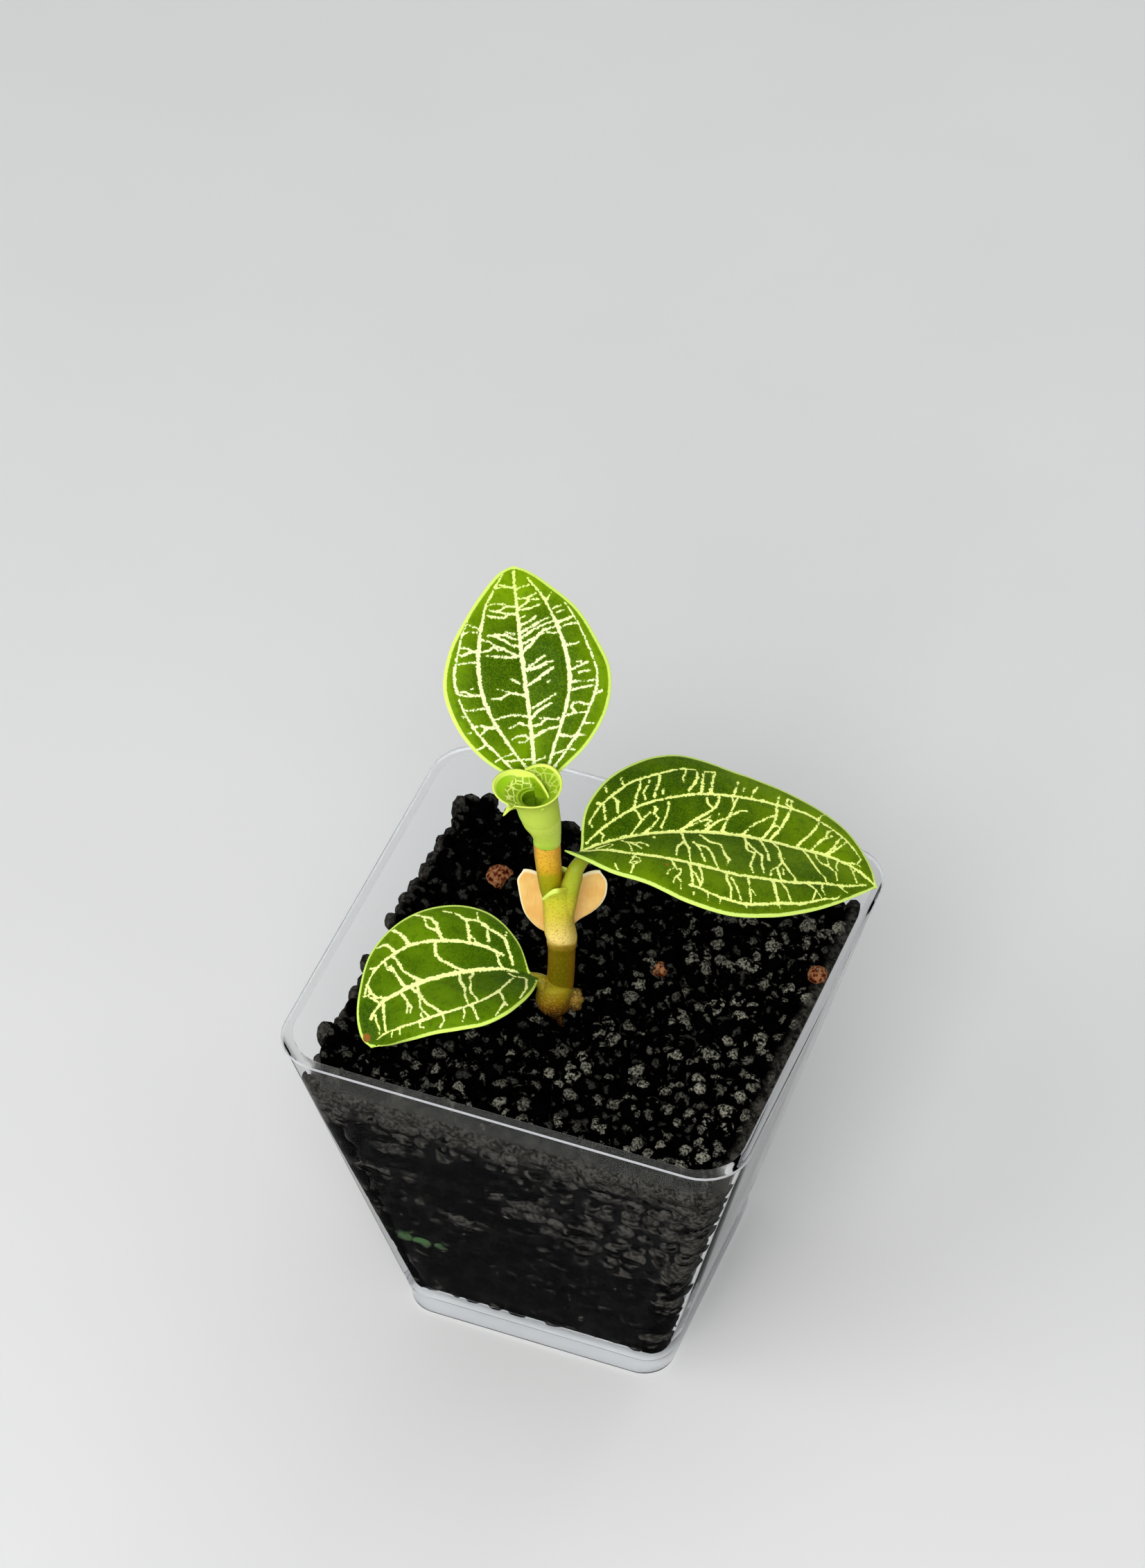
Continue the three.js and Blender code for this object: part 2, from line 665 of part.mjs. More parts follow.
const piece = (name, geometry, material) => {
  const mesh = new THREE.Mesh(geometry, material);
  mesh.name = name;
  return mesh;
};

const orchid = new THREE.Group();
orchid.add(
  piece("pot", makePot(), finish(0xe8edf0, 0.08, { transparent: true, opacity: 0.3 })),
  piece("substrate", makeSubstrate(), finish(0x0d0d0e, 0.45)),
  piece("stem", makeStem(), finish(0x8a7420, 0.4)),
  piece("leaf_left", makeLeftLeaf(), finish(0x44820d, 0.4)),
  piece("leaf_right", makeRightLeaf(), finish(0x44820d, 0.4)),
  piece("leaf_top", makeTopLeaf(), finish(0x4a8c10, 0.4)),
  piece("leaf_rolled", makeRolledLeaf(), finish(0xa8d828, 0.4)),
  piece("leaf_faded", makeFadedLeaf(), finish(0xf2c47a, 0.6)),
);

export default orchid;
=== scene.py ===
# %% [markdown]
# # A jewel orchid in a clear square pot
#
# The young plant has three open leaves with a pale net of veins, one leaf that is still rolled
# into a funnel, and an old faded leaf behind the stem. It stands in black granules in a clear pot
# that is 65 mm wide at its rim. The frame already holds every piece as a plain solid in its true
# place. Each step below gives one of them a finer surface and a finish of its own.

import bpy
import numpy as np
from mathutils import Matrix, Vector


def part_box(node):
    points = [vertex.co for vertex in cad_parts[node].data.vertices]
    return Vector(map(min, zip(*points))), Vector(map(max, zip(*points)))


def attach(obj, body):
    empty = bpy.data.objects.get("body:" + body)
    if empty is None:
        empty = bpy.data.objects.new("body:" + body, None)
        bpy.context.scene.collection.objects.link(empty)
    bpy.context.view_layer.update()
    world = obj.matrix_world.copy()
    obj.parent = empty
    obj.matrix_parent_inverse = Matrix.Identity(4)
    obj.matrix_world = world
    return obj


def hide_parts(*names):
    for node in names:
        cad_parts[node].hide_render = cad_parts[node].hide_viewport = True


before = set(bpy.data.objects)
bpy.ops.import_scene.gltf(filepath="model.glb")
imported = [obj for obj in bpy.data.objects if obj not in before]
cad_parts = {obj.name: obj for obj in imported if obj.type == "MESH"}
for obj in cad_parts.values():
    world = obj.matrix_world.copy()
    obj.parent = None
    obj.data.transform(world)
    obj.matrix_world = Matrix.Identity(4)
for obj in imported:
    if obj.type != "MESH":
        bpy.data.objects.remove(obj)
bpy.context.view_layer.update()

# %% [markdown]
# Blender works in metres and a small plant is easier to think of in millimetres, so every shape
# is worked out in millimetres and scaled once, when its mesh is made.

MM = 0.001
BODY = "root"

# %% [markdown]
# ## Where things are
#
# The plant is turned a little in its pot, so its pieces are easiest to place by how far across, how
# far back and how high they are. `on_plant` turns those three into the frame's own x, y and z. The
# stem's foot is the place where the plant leaves the granules.

# %% The plant's own directions
PLANT_TURN = np.radians(20.286)
PLANT_FOOT = np.array([-1.3, -6.4, 0.0])
ACROSS = np.array([np.cos(PLANT_TURN), np.sin(PLANT_TURN), 0.0])
BACK = np.array([-np.sin(PLANT_TURN), np.cos(PLANT_TURN), 0.0])
UP = np.array([0.0, 0.0, 1.0])


def on_plant(across, back, up):
    """Foot of the stem + across x ACROSS + back x BACK + up x UP. Takes numbers or whole arrays."""
    across, back, up = (np.asarray(value, float)[..., None] for value in (across, back, up))
    return PLANT_FOOT + across * ACROSS + back * BACK + up * UP


print("stem foot at", np.round(on_plant(0, 0, 54), 1).tolist())

# %% [markdown]
# ## Curves, grids and meshes
#
# Most pieces are a function of two parameters. The function gives a grid of points, and the grid
# becomes quads. A tube is a grid whose last column meets its first one, and its open ends are
# closed by a fan of triangles round one middle point.

# %% Curves through a few values
def spline(values, share):
    """Smooth curve (Catmull-Rom) through equally spaced values, read at shares from 0 to 1."""
    values = np.asarray(values, float)
    last = len(values) - 1
    place = np.clip(np.asarray(share, float) * last, 0, last - 1e-9)
    index = place.astype(int)
    rest = place - index
    rest = rest[..., None] if values.ndim == 2 else rest
    before, start, end, after = (values[np.clip(index + step, 0, last)] for step in (-1, 0, 1, 2))
    return 0.5 * (
        2 * start
        + (end - before) * rest
        + (2 * before - 5 * start + 4 * end - after) * rest**2
        + (3 * start - before - 3 * end + after) * rest**3
    )


def smooth_step(low, high, value):
    """0 below low, 1 above high, and 3x^2 - 2x^3 between them."""
    x = np.clip((np.asarray(value, float) - low) / (high - low), 0, 1)
    return x * x * (3 - 2 * x)


def unit(vectors):
    """Each vector divided by its length."""
    return vectors / np.linalg.norm(vectors, axis=-1, keepdims=True)


# %% Grids and tubes
def grid_quads(rows, columns, wrap=False, first=0):
    """Quads between rows x columns points numbered row by row from the first number on. With wrap,
    the last column is joined to the first one."""
    row = np.arange(rows - 1)[:, None]
    column = np.arange(columns if wrap else columns - 1)[None, :]
    here = first + row * columns + column
    aside = first + row * columns + (column + 1) % columns
    return np.stack([here, aside, aside + columns, here + columns], -1).reshape(-1, 4)


def fan(ring, centre, flip=False):
    """Triangles from a closed ring of point numbers to one centre point."""
    after = np.roll(ring, -1)
    first, second = (after, ring) if flip else (ring, after)
    return np.stack([first, second, np.full_like(ring, centre)], -1)


def closed_tube(rings):
    """A tube through rings[row, side], closed by a fan at each end: points and groups of faces."""
    rows, sides = rings.shape[:2]
    points = np.concatenate([rings.reshape(-1, 3), rings[0].mean(0)[None], rings[-1].mean(0)[None]])
    last = rows * sides
    start = fan(np.arange(sides), last, flip=True)
    end = fan(np.arange(sides) + last - sides, last + 1)
    return points, [grid_quads(rows, sides, wrap=True), start, end]


# %% Making a piece
def make_piece(name, points, faces, material, slot, node, values=None, bands=()):
    """Makes the mesh in metres, shades it smooth, hangs it on its body and hides the frame's solid.
    The values are numbers for each point, kept under their names for the finish to read. Each band
    is one more material and a test that picks its faces by their middles."""
    mesh = bpy.data.meshes.new(name)
    corners = np.concatenate([group.reshape(-1) for group in faces])
    sizes = np.concatenate([np.full(len(group), group.shape[1]) for group in faces])
    mesh.vertices.add(len(points))
    mesh.vertices.foreach_set("co", (points * MM).astype(np.float32).ravel())
    mesh.loops.add(len(corners))
    mesh.loops.foreach_set("vertex_index", corners.astype(np.int32))
    mesh.polygons.add(len(sizes))
    starts = np.concatenate([[0], np.cumsum(sizes)[:-1]])
    mesh.polygons.foreach_set("loop_start", starts.astype(np.int32))
    mesh.polygons.foreach_set("use_smooth", np.ones(len(sizes), bool))
    for key, value in (values or {}).items():
        layer = mesh.attributes.new(key, "FLOAT", "POINT")
        layer.data.foreach_set("value", np.asarray(value, np.float32).ravel())
    mesh.materials.append(material)
    middles = np.concatenate([points[group].mean(1) for group in faces])
    index = np.zeros(len(middles), np.int32)
    for number, (other, test) in enumerate(bands, 1):
        mesh.materials.append(other)
        index[test(middles)] = number
    mesh.polygons.foreach_set("material_index", index)
    mesh.update(calc_edges=True)
    mesh.validate()
    piece = bpy.data.objects.new(name, mesh)
    bpy.context.scene.collection.objects.link(piece)
    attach(piece, BODY)
    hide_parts(node)
    triangles = int((sizes - 2).sum())
    low, high = points.min(0), points.max(0)
    reach = ", ".join(f"{axis} {low[i]:.1f}..{high[i]:.1f}" for i, axis in enumerate("xyz"))
    print(f"{name}: {triangles} triangles, {reach}")


# %% [markdown]
# ## Finishes
#
# A finish is a Principled shader with nodes in front of it. The helpers below keep the node trees
# short: `add` makes a node and joins what it is given, `fade` turns a measure into a soft mask,
# `blend` mixes two colours by a mask, `tint` does so up to an amount, and `noise` reads cloud noise
# at a size given in millimetres.

# %% Helpers for colours and masks
def paint(red, green, blue):
    """A shader's colour from display values of 0 to 255, brought to linear light."""
    display = np.array([red, green, blue]) / 255
    linear = np.where(display <= 0.04045, display / 12.92, ((display + 0.055) / 1.055) ** 2.4)
    return (*linear.tolist(), 1.0)


def add(tree, kind, inputs=None, **settings):
    """Adds a node. An input is a plain value, or the socket that feeds it."""
    node = tree.nodes.new(kind)
    for name, value in settings.items():
        setattr(node, name, value)
    for key, value in (inputs or {}).items():
        if isinstance(value, bpy.types.NodeSocket):
            tree.links.new(value, node.inputs[key])
        else:
            node.inputs[key].default_value = value
    return node


def read(tree, attribute):
    """A number that the mesh holds at each point."""
    return add(tree, "ShaderNodeAttribute", attribute_name=attribute).outputs["Fac"]


def place_of(tree):
    """The point's place in the object, in metres."""
    return add(tree, "ShaderNodeTexCoord").outputs["Object"]


def fade(tree, value, low, high):
    """0 at low, 1 at high, smooth between; low may be the larger one."""
    limits = {"Value": value, "From Min": low, "From Max": high}
    return add(tree, "ShaderNodeMapRange", limits, interpolation_type="SMOOTHSTEP").outputs["Result"]


def scaled(tree, value, low, high):
    """A share from 0 to 1 stretched to run from low to high."""
    limits = {"Value": value, "To Min": low, "To Max": high}
    return add(tree, "ShaderNodeMapRange", limits).outputs["Result"]


def maths(tree, operation, first, second):
    """One sum, product or other operation on two numbers."""
    return add(tree, "ShaderNodeMath", {0: first, 1: second}, operation=operation).outputs[0]


def blend(tree, share, first, second):
    """The first colour at share 0 and the second at share 1."""
    return add(tree, "ShaderNodeMix", {0: share, 6: first, 7: second}, data_type="RGBA").outputs[2]


def tint(tree, mask, amount, first, second):
    """The first colour, and where the mask is 1 an amount of the second in it."""
    return blend(tree, scaled(tree, mask, 0.0, amount), first, second)


def noise(tree, size, detail=2.0, vector=None):
    """Cloud noise whose lumps are about size mm across."""
    inputs = {"Vector": vector or place_of(tree), "Scale": 1 / (size * MM), "Detail": detail}
    return add(tree, "ShaderNodeTexNoise", inputs).outputs[0]


# %% Helpers for shaders
def new_finish(name, **constants):
    """A material, its node tree and its shader, with the shader's own sockets set."""
    material = bpy.data.materials.new(name)
    material.use_nodes = True
    shader = material.node_tree.nodes["Principled BSDF"]
    for key, value in constants.items():
        shader.inputs[key.replace("_", " ").title().replace("Ior", "IOR")].default_value = value
    return material, material.node_tree, shader


def feed(tree, shader, socket, source):
    """Joins a source to one of the shader's sockets."""
    tree.links.new(source, shader.inputs[socket])


def bump(tree, shader, height, depth, strength=1.0):
    """Raises the surface by height x depth mm in the shader's normal."""
    inputs = {"Height": height, "Distance": depth * MM, "Strength": strength}
    feed(tree, shader, "Normal", add(tree, "ShaderNodeBump", inputs).outputs["Normal"])


# %% [markdown]
# ## The pot
#
# A clear cup is moulded in one shot: four walls that lean out, a small lip round the rim, and a
# smaller foot that stands the cup off the table. Its section is a short outline whose corners are
# rounded by arcs, and each point of the section is carried round a square with round corners. Clear
# plastic shows its edges through bent light, so the walls are real, with an inside and an outside.

# %% The pot's sizes
RIM_HALF, _, RIM_HEIGHT = np.array(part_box("pot")[1]) / MM
WALL = 1.15
LIP_PROUD, LIP_HEIGHT = 0.25, 0.8
FOOT_HALF, FOOT_HEIGHT, FOOT_STEP = 19.1, 3.4, 0.4
FLOOR_HEIGHT = 4.0
FOG_HEIGHT, FOG_REACH = 52.2, 0.4
CORNER_RADIUS = 3.9
INNER_CORNER = CORNER_RADIUS - WALL
BODY_FOOT = (FOOT_HALF + FOOT_STEP, FOOT_HEIGHT + FOOT_STEP)
BODY_TOP = (RIM_HALF - LIP_PROUD, RIM_HEIGHT - LIP_HEIGHT)


def outer_half(z):
    """Half the pot's width outside at a height: a straight line from foot to lip."""
    lean = (BODY_TOP[0] - BODY_FOOT[0]) / (BODY_TOP[1] - BODY_FOOT[1])
    return BODY_FOOT[0] + (np.asarray(z, float) - BODY_FOOT[1]) * lean


def cavity_half(z):
    """Half the pot's width inside at a height."""
    return outer_half(z) - WALL


print(f"pot {2 * RIM_HALF:.1f} mm wide, {RIM_HEIGHT:.1f} mm high,"
      f" cavity {2 * cavity_half(RIM_HEIGHT):.1f} mm")


# %% Rounded corners
# An arc has so many points. The extra points lie so far along a flat, as a share of its length. The
# corners' radius stays between two shares of the half width.
ARC_STEPS, CORNER_STEPS = 7, 9
EARLY, EASE = 0.9, 0.04
LEAST_ROUND, MOST_ROUND = 0.2, 0.9


def rounded_outline(corners, radii):
    """Replaces each inner corner by an arc of radius r that meets both its sides, r tan(half turn)
    back. One more point before and after each arc keeps the flats flat when they are shaded."""
    corners = np.array(corners, float)
    points = [corners[0]]
    for before, corner, after, radius in zip(corners, corners[1:], corners[2:], radii):
        inward, outward = unit(before - corner), unit(after - corner)
        half_angle = np.arccos(np.clip(inward @ outward, -1, 1)) / 2
        centre = corner + unit(inward + outward) * radius / np.sin(half_angle)
        start = corner + inward * radius / np.tan(half_angle) - centre
        end = corner + outward * radius / np.tan(half_angle) - centre
        turn = np.pi - 2 * half_angle
        share = np.linspace(0, 1, ARC_STEPS)[:, None]
        arc = (np.sin((1 - share) * turn) * start + np.sin(share * turn) * end) / np.sin(turn)
        ahead, behind = (arc[0] + centre - points[-1]), (after - corner)
        points.append(points[-1] + ahead * EARLY)
        points.extend(centre + arc)
        points.append(points[-1] + behind * EASE)
    return np.array([*points, corners[-1]])


def square_rings(half, radius):
    """Level squares with round corners: each corner is an arc of radius r about (half - r, half - r),
    and two more points on each side keep the flat walls flat when they are shaded smooth."""
    corner = np.repeat(np.arange(4), CORNER_STEPS) * np.pi / 2
    turn = corner + np.tile(np.linspace(0, np.pi / 2, CORNER_STEPS), 4)
    reach = (half - radius)[:, None] * np.sqrt(2)
    x = reach * np.cos(corner + np.pi / 4) + radius[:, None] * np.cos(turn)
    y = reach * np.sin(corner + np.pi / 4) + radius[:, None] * np.sin(turn)
    outline = np.stack([x, y], -1)
    ends = outline[:, CORNER_STEPS - 1 :: CORNER_STEPS]
    starts = np.roll(outline[:, ::CORNER_STEPS], -1, axis=1)
    near, far = ends + (starts - ends) * EASE, ends + (starts - ends) * (1 - EASE)
    arcs = np.split(outline, 4, axis=1)
    blocks = [[arcs[c], near[:, [c]], far[:, [c]]] for c in range(4)]
    return np.concatenate(sum(blocks, []), 1)


# %% The pot's surface
def square_tube(section):
    """A closed tube from a section of (half width, height): first and last ring shrink to a point."""
    half, z = section[:, 0], section[:, 1]
    radius = np.clip(CORNER_RADIUS - (outer_half(z) - half), LEAST_ROUND * half, MOST_ROUND * half)
    flat = square_rings(half, radius)
    rings = np.concatenate([flat, np.broadcast_to(z[:, None, None], (*flat.shape[:2], 1))], -1)
    return closed_tube(rings)


pot_corners = [
    (1, 0), (FOOT_HALF, 0), (FOOT_HALF, FOOT_HEIGHT), BODY_FOOT, BODY_TOP,
    (RIM_HALF, RIM_HEIGHT - LIP_HEIGHT + LIP_PROUD), (RIM_HALF, RIM_HEIGHT),
    (cavity_half(RIM_HEIGHT), RIM_HEIGHT), (cavity_half(FLOOR_HEIGHT), FLOOR_HEIGHT), (1, FLOOR_HEIGHT),
]
pot_radii = [0.6, 0.35, 0.3, 0.15, 0.12, 0.3, 0.3, 1.4]
pot_section = rounded_outline(pot_corners, pot_radii)
inside_wall = np.argmin(np.diff(pot_section[:, 1])) + 1
pot_section = np.insert(pot_section, inside_wall, (cavity_half(FOG_HEIGHT), FOG_HEIGHT), axis=0)
print("pot section:", len(pot_section), "points")

# %% [markdown]
# Clear plastic needs full transmission and a surface that is almost but not quite even, so faint
# waves from the mould and fine haze come from noise. Its bend of light is set far below the real
# one, because the walls would mirror the pale floor and hide the granules. A clear wall stops lamp
# light in a path tracer, so for shadow rays alone it is plainly transparent, and the granules behind
# it are lit as they would be. Other versions go on by face: the foot bends light more, the wall
# above the bed is fogged inside, and the lip's upright face is milky, partly rubbed by handling and
# partly a painted highlight of the lamp. The foot's edges carry painted reflection lines in the
# same milky finish.

# %% The pot's finishes
# Bands of paler, less clear plastic: partly rubbed plastic, partly painted highlight and reflection
# lines.
MILKY_HIGHLIGHT_BANDS = [
    # from height, to height: the lip's upright face, the step over the foot and its lower edge
    (RIM_HEIGHT - LIP_HEIGHT + 0.1, RIM_HEIGHT - 0.12),
    (FOOT_HEIGHT - 0.1, FOOT_HEIGHT + FOOT_STEP - 0.05),
    (0, 0.5),
]


def make_clear_plastic(name, colour, clearness, rough, bend):
    """Plastic of a clearness from 0 to 1, a roughness between two values, and a bend of light."""
    material, tree, shader = new_finish(
        name, base_color=colour, transmission_weight=clearness, ior=bend, specular_ior_level=0.5)
    haze = noise(tree, 6, detail=4)
    feed(tree, shader, "Roughness", scaled(tree, haze, *rough))
    bump(tree, shader, noise(tree, 9, detail=1), 0.05, 0.5)
    open_way = add(tree, "ShaderNodeBsdfTransparent", {"Color": paint(240, 242, 244)})
    shadow = add(tree, "ShaderNodeLightPath").outputs["Is Shadow Ray"]
    both = add(tree, "ShaderNodeMixShader", {0: shadow, 1: shader.outputs[0], 2: open_way.outputs[0]})
    tree.links.new(both.outputs[0], tree.nodes["Material Output"].inputs["Surface"])
    return material


def is_edge(middle):
    """The foot below the floor."""
    return middle[:, 2] < FLOOR_HEIGHT - 0.05


def is_fogged(middle):
    """Inside of the front wall and of its two corners, from the bed up to the lip."""
    x, y, z = middle.T
    bend = cavity_half(z) - INNER_CORNER
    from_bend = np.hypot(np.maximum(np.abs(x) - bend, 0), np.maximum(-y - bend, 0))
    return (-y > bend) & (from_bend < INNER_CORNER + FOG_REACH) & (z > FOG_HEIGHT) & (z < BODY_TOP[1])


def is_milky_highlight(middle):
    """The lip's upright face and the foot's two edges, which carry a painted highlight and painted
    reflection lines.
    """
    z = middle[:, 2]
    return np.any([(z > low) & (z < high) for low, high in MILKY_HIGHLIGHT_BANDS], axis=0)


clear_plastic = make_clear_plastic("clear_plastic", paint(248, 249, 250), 1.0, (0.0, 0.06), 1.035)
edge_plastic = make_clear_plastic("edge_plastic", paint(246, 247, 249), 1.0, (0.0, 0.08), 1.2)
fogged_plastic = make_clear_plastic("fogged_plastic", paint(130, 129, 124), 0.88, (0.1, 0.3), 1.035)
# Painted highlight and reflection: paler, less clear plastic on the lip and the foot's edges.
milky_highlight_plastic = make_clear_plastic("milky_highlight_plastic", paint(226, 227, 230), 0.45, (0.1, 0.3), 1.2)
make_piece("pot_clear", *square_tube(pot_section), clear_plastic, "clear_plastic", "pot",
           bands=[(edge_plastic, is_edge), (fogged_plastic, is_fogged), (milky_highlight_plastic, is_milky_highlight)])

# %% [markdown]
# ## The granules
#
# The pot is filled with hard black balls of 2 to 3.5 mm. Thousands of round balls would be too
# many faces, so each is a small lumpy ball with a few dozen faces, and only those that can be seen
# are made: two layers on top, and one behind each wall. The inside is one dark core. Where a ball
# lies against the wall, its points are pushed back to the wall, which leaves the flat, paler patch
# that wet granules show behind clear plastic.
#
# Two faults are known. The pot's inside corners are rounder than the square the balls are pushed
# back to, so balls there reach up to 1.2 mm into the plastic. Neighbouring balls also overlap.

# %% A plain ball
BALL_RINGS, BALL_SIDES = 5, 10


def ball_rings(rows, columns):
    """Directions over latitude and longitude, without the poles."""
    latitude = np.linspace(-np.pi / 2, np.pi / 2, rows + 2)[1:-1, None]
    longitude = np.linspace(0, 2 * np.pi, columns, endpoint=False)[None, :]
    x, y = np.cos(latitude) * np.cos(longitude), np.cos(latitude) * np.sin(longitude)
    return np.stack([x, y, np.sin(latitude) + 0 * longitude], -1)


def ball():
    """Unit ball: rings of latitude between two poles, and its faces."""
    rings = ball_rings(BALL_RINGS, BALL_SIDES).reshape(-1, 3)
    points = np.concatenate([rings, [[0, 0, -1], [0, 0, 1]]])
    ring, last = np.arange(BALL_SIDES), BALL_RINGS * BALL_SIDES
    quads = grid_quads(BALL_RINGS, BALL_SIDES, wrap=True)
    caps = fan(ring, last, flip=True), fan(ring + last - BALL_SIDES, last + 1)
    return points, quads, np.concatenate(caps)


# %% Lumpy balls
STRETCH = 0.84, 1.12
WAVE_RATE, WAVE_DEPTH = 3.4, 0.07
draw = np.random.default_rng(7)


def turns(count):
    """Random rotation matrices, from random unit quaternions."""
    w, x, y, z = unit(draw.normal(size=(count, 4))).T
    return np.array([
        [1 - 2 * (y * y + z * z), 2 * (x * y - z * w), 2 * (x * z + y * w)],
        [2 * (x * y + z * w), 1 - 2 * (x * x + z * z), 2 * (y * z - x * w)],
        [2 * (x * z - y * w), 2 * (y * z + x * w), 1 - 2 * (x * x + y * y)],
    ]).transpose(2, 0, 1)


def lumpy_balls(centres, radii):
    """One ball for each centre: radius x (1 + three slow waves over its surface), stretched by up to
    a sixth along its own axes and turned at random."""
    shape, quads, caps = ball()
    count = len(centres)
    stretched = shape[None] * draw.uniform(*STRETCH, (count, 1, 3))
    directions = stretched @ turns(count).transpose(0, 2, 1)
    waves = unit(draw.normal(size=(count, 3, 3)))
    phases = draw.uniform(0, 2 * np.pi, (count, 1, 3))
    lump = np.cos(WAVE_RATE * directions @ waves.transpose(0, 2, 1) + phases).sum(-1)
    points = centres[:, None] + directions * (radii[:, None] * (1 + WAVE_DEPTH * lump))[..., None]
    shift = (np.arange(count) * len(shape))[:, None, None]
    faces = [(group[None] + shift).reshape(-1, group.shape[1]) for group in (quads, caps)]
    return points, directions, faces


print("faces in one granule:", len(ball()[1]) + len(ball()[2]))

# %% Pushing granules back to the wall
# Both film values are a distance inside the wall in mm, and how much larger it is at full cover.
WALL_GAP = 0.08
FILM_FULL, FILM_ENDS = (-0.03, 0.95), (0.12, 1.7)


def press_to_wall(points, cover):
    """Distance to the cavity's wall, as for a square with round corners; points beyond it move back.
    Also how much film each point takes. The film is full up to one distance inside the wall and
    ends at another, and the more cover there is, the farther in it clings."""
    flat = points[..., :2]
    half = cavity_half(points[..., 2]) - WALL_GAP
    over = np.abs(flat) - (half - INNER_CORNER)[..., None]
    outside = np.maximum(over, 0)
    length = np.linalg.norm(outside, axis=-1)
    distance = length + np.minimum(over.max(-1), 0) - INNER_CORNER
    outward = outside / np.maximum(length, 1e-9)[..., None]
    away = np.sign(flat) * np.where((length > 0)[..., None], outward, 0)
    moved = points.copy()
    moved[..., :2] -= away * np.maximum(distance, 0)[..., None]
    moved[..., 2] = np.maximum(moved[..., 2], FLOOR_HEIGHT + WALL_GAP)
    ends, full = (-bare - more * cover for bare, more in (FILM_ENDS, FILM_FULL))
    return moved, smooth_step(ends, full, distance)


# %% [markdown]
# The top layers lie on a six-sided lattice with each ball shifted a little. The bed is a touch
# higher at the front than at the back. Balls that would run into the stem are moved out of it.

# %% The top layers
PITCH, SHAKE = 2.75, 0.42
BED_LEVEL, BED_SLOPE = 51.7, 0.012
STEM_CLEARANCE, WALL_CLEARANCE, CORNER_CLEARANCE = 0.95, 0.75, 0.5
TOP_RADII, TOP_UNEVEN = (1.15, 1.75), (-0.75, 0.25)


def bed_level(y):
    """Height of the bed: level at the middle, less the slope towards the back."""
    return BED_LEVEL - BED_SLOPE * y


def lattice(pitch, shift):
    """Centres of a six-sided lattice over the rim's square, shifted and shaken."""
    reach = int(RIM_HALF / pitch * 1.3) + 2
    row, column = np.mgrid[-reach : reach + 1, -reach : reach + 1]
    x = (column + (row % 2) / 2 + shift) * pitch
    y = (row + shift) * pitch * np.sqrt(3) / 2
    return np.stack([x, y], -1).reshape(-1, 2) + draw.uniform(-0.5, 0.5, (row.size, 2)) * pitch * SHAKE


def top_layer(depth, shift, stem_at):
    """Balls whose middles lie about a depth below the bed's level, clear of the stem, out to the
    wall. The clearances from the wall and its corners are shares of a ball's radius."""
    flat = lattice(PITCH, shift)
    radii = draw.uniform(*TOP_RADII, len(flat))
    away = flat - stem_at
    distance = np.linalg.norm(away, axis=1)
    wanted = np.maximum(distance, radii + STEM_CLEARANCE)
    flat = stem_at + away * (wanted / distance)[:, None]
    level = bed_level(flat[:, 1]) + draw.uniform(*TOP_UNEVEN, len(flat)) - depth
    inside = np.abs(flat).max(1) < cavity_half(level) - WALL_CLEARANCE * radii
    past_bend = np.maximum(np.abs(flat) - (cavity_half(level) - INNER_CORNER)[:, None], 0)
    inside &= np.linalg.norm(past_bend, axis=1) < INNER_CORNER - CORNER_CLEARANCE * radii
    return np.column_stack([flat, level])[inside], radii[inside]


# %% The layers behind the walls
WALL_RADII, WALL_PRESS = (1.3, 2.2), (0.55, 0.98)
WALL_PITCH, WALL_SHAKE = 3.0, 0.55
LOWEST, HIGHEST, CROWN = FLOOR_HEIGHT + 1.6, BED_LEVEL + 0.4, 0.9
ROW_START, ROW_END = 0.7, 0.6


def wall_layer(side):
    """Balls behind one wall, in shaken rows from the floor to the bed, each pressed a little."""
    rows = []
    for level, z in enumerate(np.arange(LOWEST, HIGHEST, PITCH)):
        start = -cavity_half(z) + ROW_START + (level % 2) * WALL_PITCH / 2
        along = np.arange(start, cavity_half(z) - ROW_END, WALL_PITCH)
        rows.append(np.column_stack([along, np.full(len(along), z)]))
    rows = np.concatenate(rows)
    along, z = (rows + draw.uniform(-WALL_SHAKE, WALL_SHAKE, rows.shape)).T
    radii = draw.uniform(*WALL_RADII, len(along))
    z = np.minimum(z, BED_LEVEL + CROWN - radii)
    inward = cavity_half(z) - radii * draw.uniform(*WALL_PRESS, len(along))
    turn = side * np.pi / 2
    x = inward * np.cos(turn) - along * np.sin(turn)
    y = inward * np.sin(turn) + along * np.cos(turn)
    return np.column_stack([x, y, z]), radii


stem_foot = on_plant(-0.4, 0, 0)[:2]
upper = top_layer(0.0, 0.0, stem_foot)
lower = top_layer(1.9, 0.5, stem_foot)
walls = [wall_layer(side) for side in range(4)]
print("granules:", len(upper[0]), "on top,", len(lower[0]), "below them,",
      sum(len(radii) for _, radii in walls), "at the walls")
